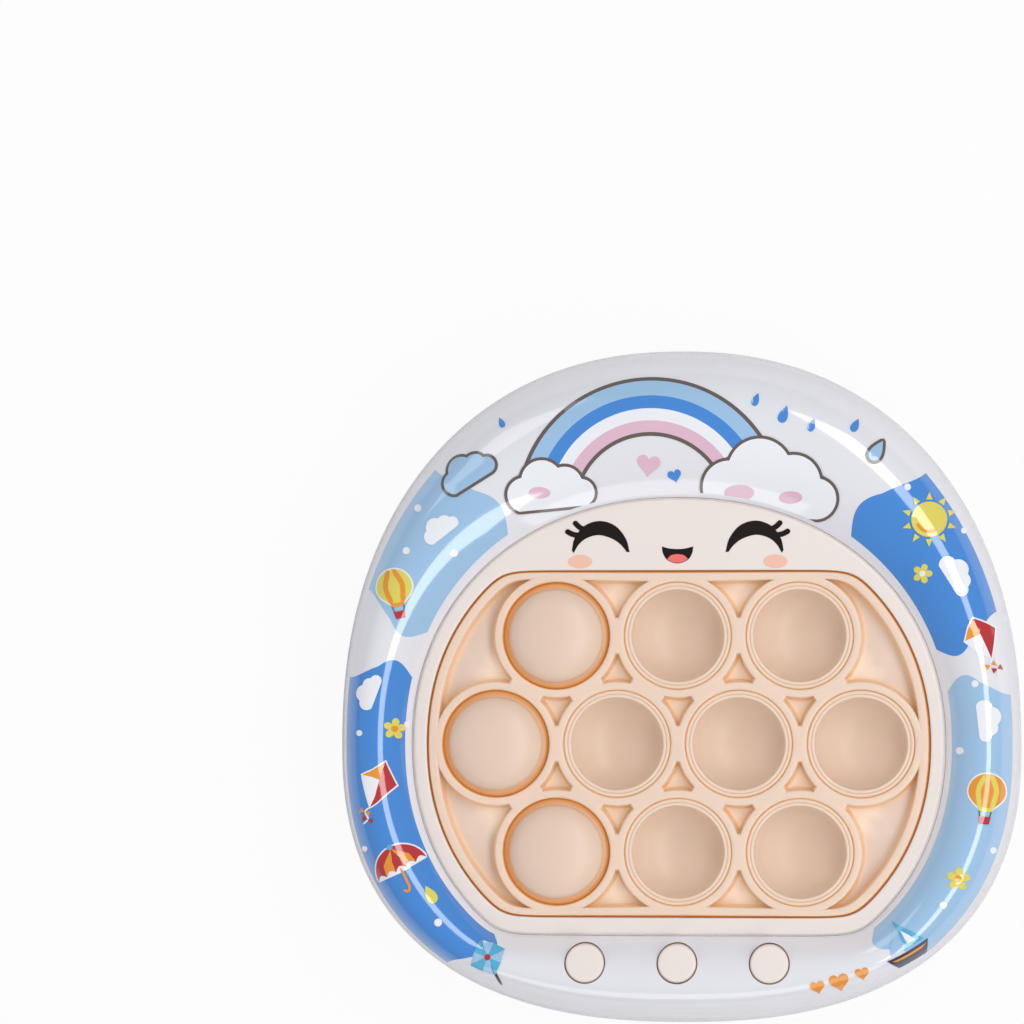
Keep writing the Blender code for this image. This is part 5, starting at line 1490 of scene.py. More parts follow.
@dataclass
class BubbleSheet:
    """Silicone sheet: soft-edged rings and a border lip that stand over sunk pockets."""

    toy: ToyOutline
    grid: BubbleGrid
    finishes: Finishes
    lip: float = 0.0021
    edge: float = 0.00050
    slope: float = 0.00030
    foot: float = 0.00055
    web: tuple[float, float] = (0.0009, 0.0042)
    floor_z: float = 0.0300
    bottom_z: float = 0.0288
    step_low_z: float = 0.0324
    step_high_z: float = 0.0330
    step_out: float = 0.0004
    step_sink: float = 0.0003
    outer_edge: float = 0.0004
    fill_pitch: float = 0.0013
    narrow: tuple[tuple[float, float], ...] = ((0.0225, 0.004), (0.0042, 0.0018))
    segments: int = 144

    def build(self) -> None:
        """Triangulates the plan along its contours and gives it its heights."""
        flat, triangles = self._plan()
        drop, hollow, glow = self._relief(flat)
        top = np.column_stack((flat, self.toy.top_z - drop))
        base = np.column_stack((flat, np.full(len(flat), self.bottom_z)))
        size = len(flat)
        step, step_faces = self._step(2 * size)
        corners = np.concatenate((top, base, step))
        piece = mesh_object("sheet", corners, slab(triangles, size) + step_faces)
        # Painted shade and light: the underside and the edge step get the full pocket tint, crevice shade and
        # glow.
        rest = np.ones(size + len(step))
        paint(piece, hollow=np.concatenate((hollow, rest)), glow=np.concatenate((glow, rest)))
        soften(trimmed(piece), 70)
        body = Body.PUSH_BOARD.value
        dressed(piece, "bubble_sheet_skin", self.finishes.silicone, body, ["bubble_sheet"])

    def _step(self, first: int) -> tuple[np.ndarray, list[list[int]]]:
        """Narrow step round the sheet's edge, just under its top, numbered from a first corner."""
        angle = turns(360)
        outline = self.toy.sheet(angle)
        low, high, out, sink = self.step_low_z, self.step_high_z, self.step_out, self.step_sink
        rows = ((-sink, low), (out, low), (out, high - 0.0001), (sink, high), (-sink, high))
        made = [self.toy.ring(angle, outline + past, height) for past, height in rows]
        return np.concatenate(made), bands(numbers(len(rows), len(angle), first), looped=True)

    def _webs(self) -> list[tuple[np.ndarray, np.ndarray]]:
        """Middle and direction of the flat web between each two neighbouring rings."""
        centres, found = np.array(self.grid.places()), []
        for index, first in enumerate(centres):
            for second in centres[index + 1:]:
                gap = float(np.linalg.norm(second - first))
                if gap < 2 * self.grid.ring + 0.001:
                    found.append(((first + second) / 2, (second - first) / gap))
        return found

    def _levels(self) -> list[float]:
        """Distances outwards from a ring's or the lip's edge at which the contours lie."""
        soft = [-self.edge * s for s in (1.0, 0.66, 0.4, 0.2, 0.08)]
        steep = [0.0, self.slope * 0.5, self.slope]
        return soft + steep + [self.slope + self.foot * 0.45, self.slope + self.foot, 0.0016]

    def _plan(self) -> tuple[np.ndarray, list[tuple[int, int, int]]]:
        """Flat points and triangles of the sheet, without the bores."""
        points: list[Vector] = []
        edges: list[tuple[int, int]] = []
        centres = np.array(self.grid.places())

        def contour(loop: np.ndarray, level: float | None) -> None:
            if level is None:
                keep = np.ones(len(loop), bool)
            else:
                keep = self._outside(loop) > level - 0.0006
            kept = {}
            for index in np.nonzero(keep)[0]:
                kept[int(index)] = len(points)
                points.append(Vector(loop[index]))
            for index in kept:
                after = (index + 1) % len(loop)
                if after in kept:
                    edges.append((kept[index], kept[after]))

        unit = circle(turns(self.segments))
        for centre in centres:
            for reach in (0.0, 0.08, 0.2, 0.4, 0.66, 1.0):
                contour(centre + unit * (self.grid.bore + self.edge * reach), None)
            for level in self._levels():
                contour(centre + unit * (self.grid.ring + level), level)
        wide = turns(420)
        unit, outline = circle(wide), self.toy.sheet(wide)
        shift = np.array((0, self.toy.centre_y))
        for inset in (0.0, 0.00005, 0.00013, 0.00025, self.outer_edge):
            contour(shift + unit * (outline - inset)[:, None], None)
        for level in self._levels():
            contour(shift + unit * (outline - self.lip - level)[:, None], level)
        for middle, along in self._webs():
            aside = np.array((-along[1], along[0]))
            for side in (-1, 1):
                for level in self._levels():
                    reach = side * (self.web[1] + level)
                    line = middle + np.linspace(-0.0008, 0.0008, 9)[:, None] * along + reach * aside
                    for first, second in zip(line, line[1:]):
                        edges.append((len(points), len(points) + 1))
                        points += [Vector(first), Vector(second)]
        points += self._fill()
        flat, triangles, middle = triangulated(points, edges, 1e-6)
        gap = np.min(self.grid.gaps(middle), axis=1)
        around, reach = self.toy.polar(middle)
        keep = (gap > self.grid.bore - 3e-6) & (reach < self.toy.sheet(around) - 1e-6)
        return flat, [tuple(t) for t, inner in zip(triangles, keep) if inner]

    def _fill(self) -> list[Vector]:
        """Points that fill the pocket floors."""
        across, along = np.arange(-0.058, 0.058, self.fill_pitch), np.arange(-0.056, 0.029, self.fill_pitch)
        x, y = np.meshgrid(across, along)
        points = np.column_stack((x.ravel(), y.ravel()))
        far = self._outside(points)
        around, reach = self.toy.polar(points)
        return [Vector(p) for p in points[(far > 0.002) & (reach < self.toy.sheet(around))]]

    def _outside(self, points: np.ndarray) -> np.ndarray:
        """Distance of points into a pocket, from the nearest ring or the lip, negative on them."""
        gap = np.min(self.grid.gaps(points), axis=1) - self.grid.ring
        angle, reach = self.toy.polar(points)
        far = np.minimum(gap, self.toy.sheet(angle) - self.lip - reach)
        for middle, along in self._webs():
            off = points - middle
            across = np.abs(off @ along) - self.web[0]
            length = np.abs(off @ np.array((-along[1], along[0]))) - self.web[1]
            outside = np.hypot(np.maximum(across, 0), np.maximum(length, 0))
            far = np.minimum(far, outside + np.minimum(np.maximum(across, length), 0))
        return far

    def _relief(self, points: np.ndarray) -> tuple[np.ndarray, np.ndarray, np.ndarray]:
        """Drop below the top, and the painted pocket tint and light and the painted crevice shade and glow,
        at each point.
        """
        depth = self.toy.top_z - self.floor_z
        far = self._outside(points)
        gaps = np.sort(self.grid.gaps(points), axis=1)
        bore = gaps[:, 0] - self.grid.bore
        angle, reach = self.toy.polar(points)
        rim = self.toy.sheet(angle) - reach
        soft = self._rounded(np.clip(far + self.edge, 0, self.edge), self.edge)
        wall = np.clip(far / self.slope, 0, 1) * (depth - self.edge - self.foot)
        toe = self.foot - self._rounded(self.foot - np.clip(far - self.slope, 0, self.foot), self.foot)
        drop = soft + wall + toe
        drop = np.maximum(drop, self._rounded(np.clip(self.edge - bore, 0, self.edge), self.edge))
        fall = np.clip(self.outer_edge - rim, 0, self.outer_edge)
        drop = np.maximum(drop, self._rounded(fall, self.outer_edge))
        # Painted light: pockets pinched between two rings get up to twice the pocket share, which adds
        # emission against their shade.
        (gap, gap_fade), (wide, wide_fade) = self.narrow
        narrow = np.clip((gap - gaps[:, 1]) / gap_fade, 0, 1) * np.clip((wide - far) / wide_fade, 0, 1)
        hollow = np.clip(far / (self.slope + self.foot), 0, 1) * (1 + narrow)
        # Painted shade with glow: amber and umber along the foot of each pocket wall, round each bore and
        # along the sheet's outer edge.
        glow = 0.6 * np.exp(-np.abs(far - self.slope - self.foot * 0.2) / 0.00024) * (far > 0)
        glow = np.maximum(glow, 0.4 * np.clip(1 - bore / (0.5 * self.edge), 0, 1))
        glow = np.maximum(glow, 0.5 * np.clip(1 - rim / 0.0003, 0, 1))
        return drop, hollow, glow

    def _rounded(self, into: np.ndarray, radius: float) -> np.ndarray:
        """Fall of a quarter round at a distance into it."""
        return radius - np.sqrt(np.maximum(radius**2 - into**2, 0))


@dataclass
class Bubbles:
    """The ten bubbles, raised or pressed in, that turn inside out as they pop."""

    grid: BubbleGrid
    finishes: Finishes
    membrane_z: float = 0.031
    wall: float = 0.0012
    rise: float = 0.0075
    power: float = 2.3
    rim: float = 0.0125
    dome: float = 0.01095
    dome_foot: float = 0.0005
    skirt: float = 0.0016
    bowl: float = 0.0108
    lips: tuple[tuple[float, float, float], ...] = ((0.01118, 0.00038, 0.00022), (0.01199, 0.00043, 0.0004))
    bowl_mouth: float = 0.0023
    bowl_outside: float = 0.01195
    still: float = 0.0002
    reach: float = 0.0075
    groove: float = 0.0123
    crease: float = 0.01156
    fade: float = 0.0001
    mouth_fade: float = 0.0012
    # Painted shade with glow in the grooves and crease, and the darker painted shade of the thin skin on
    # domes and bowls.
    shade_glow_skirt: float = 0.92
    shade_glow_groove: float = 0.34
    shade_glow_crease: float = 0.2
    thin_shade_dome: float = 0.28
    thin_shade_mouth: float = 0.38
    thin_shade_deep: float = 0.1
    segments: int = 96

    def build(self) -> None:
        """Makes every bubble, raised or pressed in, at its place, and hides its node."""
        for number, (x, y) in enumerate(self.grid.places(), 1):
            side = 1 if number in self.grid.raised else -1
            name = f"bubble_{number:02d}"
            profile = self._raised() if side > 0 else self._pressed()
            piece = lathe(name + "_skin", profile, self.segments, (x, y, self.membrane_z))
            self._tint(piece, x, y, side)
            soften(piece, 60)
            dressed(piece, name + "_skin", self.finishes.silicone, "", [name])
            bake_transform(piece)

    def _dome(self, radius: float, foot: float, top: float, steps: int) -> list[tuple[float, float]]:
        """Section of a dome from its top, or of a bowl from its bottom, to its foot."""
        found = [(0.0, top)]
        for step in range(1, steps + 1):
            turn = math.pi / 2 * (1 - step / steps)
            rise = math.sin(turn) ** (2 / self.power) if step < steps else 0.0
            found.append((radius * math.cos(turn) ** (2 / self.power), foot + (top - foot) * rise))
        return found

    def _raised(self) -> list[tuple[float, float]]:
        """Closed section of a dome: over the top outwards, round the rim, and back below."""
        half = self.wall / 2
        upper = self._dome(self.dome, self.dome_foot + self.skirt, self.rise, 28)
        for share in np.linspace(0, 1, 9)[1:]:
            fall = self.skirt * (1 - share) ** 1.7
            upper.append((self.dome + (self.rim - self.dome) * share, self.dome_foot + fall))
        lower = self._dome(self.dome - self.wall, -half, self.rise - self.wall, 20)
        return upper + [(self.rim, -half)] + lower[::-1]

    def _pressed(self) -> list[tuple[float, float]]:
        """Closed section of a bowl with a rolled lip: up from the bottom, over the lip, and back below."""
        upper = self._dome(self.bowl, self.bowl_mouth, self.wall - self.rise, 30)
        for middle, half_width, height in self.lips:
            for turn in np.linspace(math.pi, 0, 11)[1:]:
                lift = height * math.sin(turn)
                upper.append((middle + half_width * math.cos(turn), self.bowl_mouth + lift))
        upper.append((self.rim, self.bowl_mouth))
        lower = self._dome(self.bowl_outside, -self.wall / 2, -self.rise, 20)
        return upper + [(self.rim, -self.wall / 2)] + lower[::-1]

    def _tint(self, piece: bpy.types.Object, x: float, y: float, side: int) -> None:
        """Painted shade as colour attributes: amber and umber with glow in the groove round the rim and in
        the bowl's crease, and a darker thin-skin shade over the dome, and over the bowl growing with depth.
        """
        corners = np.array([v.co for v in piece.data.vertices])
        far = np.hypot(corners[:, 0] - x, corners[:, 1] - y)
        level = corners[:, 2] - self.membrane_z
        if side > 0:
            skirt = np.clip((far - self.dome + 0.0002) / (self.rim - self.dome), 0, 1) * (level > 0)
            paint(piece, thin=np.full(len(far), self.thin_shade_dome), glow=self.shade_glow_skirt * skirt**1.6)
        else:
            deep = np.clip(-level / self.rise, 0, 1)
            outer = np.clip((far - self.groove) / self.fade, 0, 1)
            between = np.clip(1 - np.abs(far - self.crease) / self.fade, 0, 1) * (level > 0)
            inner = np.clip((self.bowl + self.fade - far) / self.mouth_fade, 0, 1)
            glow = np.maximum(self.shade_glow_groove * outer, self.shade_glow_crease * between)
            paint(piece, thin=self.thin_shade_mouth * inner + self.thin_shade_deep * deep, glow=glow)


@dataclass
class ButtonCaps:
    """Three round caps with their wings and stems."""

    toy: ToyOutline
    finishes: Finishes
    pitch: float = 0.0214
    centre_y: float = -0.0643
    radius: float = 0.00445
    round_edge: float = 0.0006
    collar_out: float = 0.00022
    collar: tuple[float, ...] = (0.0008, 0.0009, 0.001, 0.0016, 0.0017)
    depth: float = 0.0071
    skin: float = 0.0019
    wall: float = 0.001
    stem: float = 0.002
    wing: tuple[float, float, float] = (0.007, 0.002, 0.0078)
    seam_shade_depth: float = 0.00085

    def _profile(self, top: float, low: float) -> list[tuple[float, float]]:
        """Section of a cap: its rounded top, the collar in the gap, the wall and the stem."""
        r, collar, inner = self.radius, self.radius + self.collar_out, self.radius - self.wall
        profile = [(0, top), (r * 0.5, top - 0.00002)]
        for turn in np.linspace(0, math.pi / 2, 8):
            edge = r - self.round_edge * (1 - math.sin(turn))
            profile.append((edge, top - self.round_edge * (1 - math.cos(turn))))
        profile += [(x, top - depth) for x, depth in zip((r, r, collar, collar, r), self.collar)]
        profile += [(r, top - self.depth), (inner, top - self.depth), (inner, top - self.skin)]
        return profile + [(self.stem, top - self.skin), (self.stem, low), (0, low)]

    def build(self) -> None:
        """Makes a smooth cap over each node, keeping its height and stem."""
        for step, side in zip((-1, 0, 1), ("left", "middle", "right")):
            low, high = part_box(f"button_cap_{side}")
            x, top = step * self.pitch, high[2]
            cap = lathe("cap", self._profile(top, low[2]), 72, (x, self.centre_y, 0))
            points, level = self._levels(cap, top)
            beside = np.hypot(points[:, 0] - x, points[:, 1] - self.centre_y) > self.radius - 0.0001
            depth, near = top - points[:, 2], 0.00005
            moved = beside & (depth > self.collar[0] - near) & (depth < self.collar[-1] + near)
            points[:, 2] += np.where(moved, level - top, 0)
            cap.data.vertices.foreach_set("co", points.ravel())
            across, along, foot = self.wing
            wing = block((x - across, self.centre_y - along, top - foot),
                         (x + across, self.centre_y + along, top - self.depth))
            piece = soften(joined("cap", [cap, rounded(wing, 0.0002, 2)]), 40)
            # Painted shade: the faces deeper than the seam depth below the ring's surface, in the gap round
            # the cap, get the warm seam shade.
            points, level = self._levels(piece, top)
            paint(piece, seam=points[:, 2] < level - self.seam_shade_depth)
            body = f"button_{side}"
            dressed(piece, f"button_{side}_skin", self.finishes.cream, body, [f"button_cap_{side}"])

    def _levels(self, piece: bpy.types.Object, top: float) -> tuple[np.ndarray, np.ndarray]:
        """Points of a piece, and the height of the ring's surface at each, no higher than the cap's top."""
        points = np.array([corner.co for corner in piece.data.vertices])
        surface = self.toy.crown_point(*self.toy.crown_travel(points[:, 0], points[:, 1]))
        return points, np.minimum(surface[:, 2], top)


@dataclass
class RearShell:
    """Rear bowl with its bosses, battery box, speaker collar, grille and feet."""

    toy: ToyOutline
    finishes: Finishes
    shapes: NodeShapes
    rays: int = 192
    steps: int = 12
    roof_z: float = 0.0138
    box_half: float = 0.02485
    box_low: float = 0.0262
    box_high: float = 0.0589
    box_wall: float = 0.0022
    ledge: float = 0.0012
    recess_z: float = 0.00285
    seat_z: float = 0.010
    slot_count: int = 5
    slot_pitch: float = 0.0040
    slot_width: float = 0.0018
    slot_reach: float = 0.011
    ear_y: float = 0.0230
    ear_boss: tuple[float, float] = (0.0062, 0.0095)
    speaker_y: float = -0.045
    collar: tuple[float, float] = (0.0143, 0.0155)
    collar_z: tuple[float, float] = (0.002, 0.0055)
    board_posts: tuple[tuple[float, float], ...] = ((-0.0284, -0.0051), (0.0284, -0.0051))
    boss_radius: float = 0.0048
    guide_radius: float = 0.004
    guide_bore: float = 0.0023
    guide_z: float = 0.015
    post_radius: float = 0.003
    post_bore: float = 0.0013
    post_z: float = 0.0101
    bore_foot: float = 0.003
    foot_seat: float = 0.0053
    foot_radius: float = 0.005
    foot_round: float = 0.0005
    foot_height: float = 0.0014
    ear_radius: float = 0.0048
    ear_depth: float = 0.0085
    sink_mouth: float = 0.0037
    sink_radius: float = 0.0033
    screw_bore: float = 0.0016

    def build(self) -> None:
        """Lofts the bowl, adds what stands in it, cuts its holes and sets the feet."""
        toy = self.toy
        shell = loft("rear", self._rows(0.0) + self._rows(toy.wall)[::-1], closed=False)
        ear_boss = rod(self.ear_boss[0], 0, self.ear_boss[1], 0, self.ear_y, 48)
        for part in (self._posts(), self._box(), [ear_boss]):
            boolean(shell, "UNION", [boolean(joined("inner", part), "INTERSECT", [self._core()])])
        for cut in self._cuts():
            boolean(shell, "DIFFERENCE", cut)
        soften(outward(shell), 35)
        dressed(shell, "rear_shell_skin", self.finishes.shell, Body.CASE.value, ["rear_shell"])
        self._feet()

    def _row(self, inset: float, height: float) -> np.ndarray:
        """Row of points at a distance inside the case outline."""
        angle = turns(self.rays)
        return self.toy.ring(angle, self.toy.case(angle) - inset, height)

    def _rows(self, skin: float) -> list[np.ndarray]:
        """Rows of the bowl from its floor to the split, at a depth inside its outside."""
        toy, rows = self.toy, []
        for step in range(self.steps + 1):
            turn = math.pi / 2 * (1 - step / self.steps)
            inset = skin + (toy.rear_inset - skin) * (1 - math.cos(turn))
            rows.append(self._row(inset, toy.split_z - (toy.split_z - toy.rear_z - skin) * math.sin(turn)))
        return rows

    def _core(self) -> bpy.types.Object:
        """Solid that fills the bowl to the middle of its wall."""
        half = self.toy.wall / 2
        return loft("core", self._rows(half) + [self._row(half, self.toy.split_z + 0.001)], closed=False)

    def _posts(self) -> list[bpy.types.Object]:
        """Screw bosses, guide tubes, board posts and the speaker's collar."""
        toy = self.toy
        posts = [rod(self.boss_radius, 0, toy.split_z, x, y, 40) for x, y in middles("case_screw")]
        posts += [rod(self.guide_radius, 0, self.guide_z, x, y, 40) for x, y in middles("return_spring")]
        posts += [rod(self.post_radius, 0, self.post_z, x, y, 32) for x, y in self.board_posts]
        (inner, outer), (low, high) = self.collar, self.collar_z
        collar = ((inner, low), (outer, low), (outer, high), (inner, high))
        posts.append(lathe("collar", collar, 64, (0, self.speaker_y, 0), looped=True))
        return posts

    def _box(self) -> list[bpy.types.Object]:
        """Battery box."""
        half = self.box_half + self.box_wall
        low = (-half, self.box_low - self.box_wall, 0)
        return [block(low, (half, self.box_high + self.box_wall, self.roof_z + 0.0017))]

    def _cuts(self) -> list[list[bpy.types.Object]]:
        """Everything that is cut from the bowl, in sets that don't touch each other."""
        door_half = self.box_half + self.ledge
        recess = block((-door_half, self.box_low - self.ledge, -0.001),
                       (door_half, self.box_high + self.ledge, self.recess_z))
        cavity = block((-self.box_half, self.box_low, -0.001), (self.box_half, self.box_high, self.roof_z))
        wide, bore, end = self.ear_radius, self.post_bore, self.ear_depth
        ear = ((0, -0.001), (wide, -0.001), (wide, self.recess_z), (bore, self.recess_z), (bore, end),
               (0, end))
        holes = []
        for x, y in middles("case_screw"):
            sink = ((0, -0.001), (self.sink_mouth, -0.001), (self.sink_radius, 0.0022),
                    (self.sink_radius, self.seat_z), (self.screw_bore, self.seat_z), (self.screw_bore, 0.019),
                    (0, 0.019))
            holes.append(lathe("sink", sink, 40, (x, y, 0)))
        holes += [rod(self.guide_bore, self.bore_foot, self.guide_z + 0.001, x, y, 32)
                  for x, y in middles("return_spring")]
        holes += [rod(self.post_bore, self.bore_foot, self.post_z + 0.0003, x, y, 24)
                  for x, y in self.board_posts]
        holes += [rod(self.foot_seat, -0.001, 0.0017, x, y, 48) for x, y in middles("foot")]
        for index in range(self.slot_count):
            offset = (index - (self.slot_count - 1) / 2) * self.slot_pitch
            half = math.sqrt(self.slot_reach**2 - offset**2)
            middle, aside = self.speaker_y + offset, self.slot_width / 2
            slot = block((-half, middle - aside, -0.001), (half, middle + aside, 0.004))
            holes.append(rounded(slot, self.slot_width * 0.45, 4, 80))
        return [[recess], [cavity], [lathe("ear", ear, 48, (0, self.ear_y, 0))], holes]

    def _feet(self) -> None:
        """Four rubber feet with rounded edges."""
        radius, edge, top = self.foot_radius, self.foot_round, self.foot_height
        profile = [(0.0, 0.0)]
        for turn in np.linspace(0, math.pi / 2, 6):
            profile.append((radius - edge * (1 - math.sin(turn)), edge * (1 - math.cos(turn))))
        model = lathe("foot", profile + [(radius, top), (0.0, top)], 48, (0, 0, 0))
        places = [(x, y, 0) for x, y in middles("foot")]
        feet = self.shapes.repeat(model, places, self.finishes.rubber)
        dressed(feet, "feet_skin", self.finishes.rubber, Body.CASE.value, numbered("foot", 4))


@dataclass(frozen=True)
class ScrewShape:
    """A screw with a cross recess, its head at the bottom and its seat at height 0."""

    head: float
    head_height: float
    shank: float
    length: float

    def model(self) -> bpy.types.Object:
        """Lathes the screw with its thread and cuts the cross."""
        top = self.head_height
        profile = [(0, -top), (self.head * 0.7, -top)]
        for turn in np.linspace(0.2, math.pi / 2, 6):
            height = -top + top * 0.5 * (1 - math.cos(turn))
            profile.append((self.head * (0.7 + 0.3 * math.sin(turn)), height))
        profile += [(self.head, 0), (self.shank, 0)]
        pitch = self.shank * 0.55
        for step in range(int((self.length - self.shank * 1.6) / pitch)):
            base = 0.0004 + step * pitch
            profile += [(self.shank * 0.82, base), (self.shank, base + pitch * 0.5)]
        profile += [(self.shank * 0.8, self.length - self.shank), (0, self.length)]
        piece = lathe("screw", profile, 32, (0, 0, 0))
        arm, slot = self.head * 0.55, self.head * 0.13
        deep = -top + top * 0.62
        cross = boolean(block((-arm, -slot, -top - 0.001), (arm, slot, deep)), "UNION",
                        [block((-slot, -arm, -top - 0.001), (slot, arm, deep - 0.00001))])
        return boolean(piece, "DIFFERENCE", [cross])


@dataclass
class Fasteners:
    """All screws, each kind a model that is repeated."""

    finishes: Finishes
    shapes: NodeShapes

    def build(self) -> None:
        """Places the case, board and door screws."""
        case = ScrewShape(head=0.003, head_height=0.0018, shank=0.0013, length=0.020)
        small = ScrewShape(head=0.0024, head_height=0.0012, shank=0.001, length=0.006)
        names, turned = numbered("case_screw", 4), (20, 65, 110, -15)
        self._set("case_screws_skin", case.model(), names, case.head_height, Body.CASE, turned)
        flipped = small.model()
        flipped.data.transform(Matrix.Rotation(math.pi, 4, "X"))
        self._set("board_screws_skin", flipped, numbered("board_screw", 2), small.length, Body.CASE, (35, 80))
        self._set("door_screw_skin", small.model(), ["door_screw"], small.head_height, Body.DOOR, (25,))

    def _set(self, name: str, model: bpy.types.Object, nodes: Sequence[str], rise: float, body: Body,
             turned: Sequence[float]) -> None:
        """One piece with a screw at each of some nodes, its seat at a height over the node's foot."""
        places = []
        for node in nodes:
            low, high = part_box(node)
            places.append(((low[0] + high[0]) / 2, (low[1] + high[1]) / 2, low[2] + rise))
        piece = self.shapes.repeat(model, places, self.finishes.steel, turned)
        dressed(piece, name, self.finishes.steel, body.value, nodes)


@dataclass
class PowerPack:
    """Battery door with finger ridges, and the three cells."""

    finishes: Finishes
    shapes: NodeShapes
    cell_radius: float = 0.00525
    sleeve_end: float = 0.0004
    nub: tuple[float, float] = (0.0019, 0.001)
    plate_y: float = 0.0253
    ear_radius: float = 0.0045
    edge: float = 0.0003
    ridges: int = 5
    ridge_pitch: float = 0.0022
    ridge_inset: float = 0.004

    def build(self) -> None:
        """Makes the door and the cells."""
        self._door()
        self._cells()

    def _door(self) -> None:
        """Door plate with its screw ear, a rounded rim and ridges to push it by."""
        low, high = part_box("battery_door")
        ear_low, ear_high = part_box("door_screw")
        ear_y = (ear_low[1] + ear_high[1]) / 2
        plate = rounded(block((low[0], self.plate_y, low[2]), high), self.edge, 3)
        wide, edge, foot, top = self.ear_radius, self.edge, low[2], high[2]
        ear = ((0, foot), (wide - edge, foot), (wide, foot + edge), (wide, top), (0, top))
        door = boolean(plate, "UNION", [lathe("ear", ear, 48, (0, ear_y, 0))])
        sink = ((0, 0), (0.0029, 0), (0.0027, 0.0016), (0.0013, 0.0016), (0.0013, 0.004), (0, 0.004))
        boolean(door, "DIFFERENCE", [lathe("sink", sink, 40, (0, ear_y, 0))])
        ridge = rounded(block((-0.009, -0.0004, -0.00022), (0.009, 0.0004, 0.0002)), 0.0002, 2)
        first = high[1] - self.ridge_inset
        places = [(0, first - step * self.ridge_pitch, foot) for step in range(self.ridges)]
        ridges = self.shapes.repeat(ridge, places, self.finishes.shell)
        door = soften(joined("door", [door, ridges]), 40)
        dressed(door, "battery_door_skin", self.finishes.shell, Body.DOOR.value, ["battery_door"])

    def _cells(self) -> None:
        """Three cells that lie side by side, turned head to tail."""
        low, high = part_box("battery_1")
        length = high[0] - low[0] - self.nub[1]
        r, e = self.cell_radius, self.sleeve_end
        step, nub = 0.0002, self.nub[0]
        end = length + self.nub[1]
        profile = [(0, 0), (r * 0.8, 0), (r * 0.82, step), (r - e, step), (r, step + e), (r, length * 0.7),
                   (r, length * 0.7 + 0.0001), (r, length - e), (r - e, length), (r * 0.62, length),
                   (r * 0.6, length - step), (nub + step, length - step), (nub, length),
                   (nub, end - step), (nub - step, end), (0, end)]
        model = lathe("cell", profile, 48, (0, 0, 0))
        corners = np.array([v.co for v in model.data.vertices])
        reach, along = np.hypot(corners[:, 0], corners[:, 1]), corners[:, 2]
        inner = (reach < r * 0.81) & ((along < step) | (reach < r * 0.61))
        paint(model, band=along > length * 0.7 + 0.00005, metal=inner)
        turned = Matrix.Rotation(math.pi / 2, 4, "Y")
        model.data.transform(Matrix.Translation((-end / 2, 0, 0)) @ turned)
        names = numbered("battery", 3)
        places = [tuple((a + b) / 2 for a, b in zip(*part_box(name))) for name in names]
        cells = self.shapes.repeat(model, places, self.finishes.cell, (0, 180, 0))
        dressed(cells, "cells_skin", self.finishes.cell, Body.CASE.value, names)


@dataclass
class Springs:
    """Four coil springs that push the bubble board up."""

    finishes: Finishes
    shapes: NodeShapes
    wire: float = 0.00035
    radius: float = 0.0030
    coils: float = 4.5
    travel: float = 0.003

    def build(self) -> None:
        """Winds the springs between the foot and the top of their nodes."""
        low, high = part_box("return_spring_1")
        places = [(x, y, low[2] + self.wire) for x, y in middles("return_spring")]
        piece = mesh_object("coils", places, ())
        height = high[2] - low[2] - 2 * self.wire
        self.shapes.apply(piece, self.shapes.coils, Turns=self.coils, Radius=self.radius, Height=height,
                          Wire=self.wire, Finish=self.finishes.steel)
        soften(piece, 50)
        names = numbered("return_spring", 4)
        dressed(piece, "return_springs_skin", self.finishes.steel, Body.CASE.value, names)
        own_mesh(piece)


@dataclass
class Leads:
    """Pairs of thin wires from the speaker and the battery box to the board."""

    finishes: Finishes
    shapes: NodeShapes
    wire: float = 0.00042
    offset: float = 0.00036

    def build(self) -> None:
        """Runs a red and a black wire along the path of each lead."""
        speaker = ((0.0105, -0.0450, 0.0074), (0.0120, -0.0452, 0.0078), (0.0136, -0.0458, 0.0080),
                   (0.0152, -0.0466, 0.0083), (0.0164, -0.0476, 0.0089), (0.0170, -0.0484, 0.0100))
        battery = ((-0.0200, 0.0235, 0.0065), (-0.0200, 0.0218, 0.0066), (-0.0202, 0.0202, 0.0068),
                   (-0.0206, 0.0188, 0.0074), (-0.0210, 0.0178, 0.0084), (-0.0212, 0.0174, 0.0100))
        for name, path, aside in (("speaker_lead", speaker, (0, 1, 0)), ("battery_lead", battery, (1, 0, 0))):
            strands = []
            for side in (-1, 1):
                shift = side * self.offset * np.array(aside)
                edges = [(i, i + 1) for i in range(len(path) - 1)]
                piece = mesh_object("path", np.array(path) + shift, (), edges)
                self.shapes.apply(piece, self.shapes.cords, Radius=self.wire, Finish=self.finishes.lead)
                paint(piece, band=np.full(len(piece.data.vertices), float(side > 0)))
                strands.append(piece)
            pair = soften(joined(name, strands), 50)
            dressed(pair, name + "_skin", self.finishes.lead, Body.CASE.value, [name])


def facing(place: Sequence[float], aim: Sequence[float]) -> tuple[float, float, float]:
    """Rotation that looks from a place at an aim, with +Y upwards in the picture."""
    back = (Vector(place) - Vector(aim)).normalized()
    across = Vector((0, 1, 0)).cross(back).normalized()
    return tuple(Matrix((across, back.cross(across), back)).transposed().to_euler())


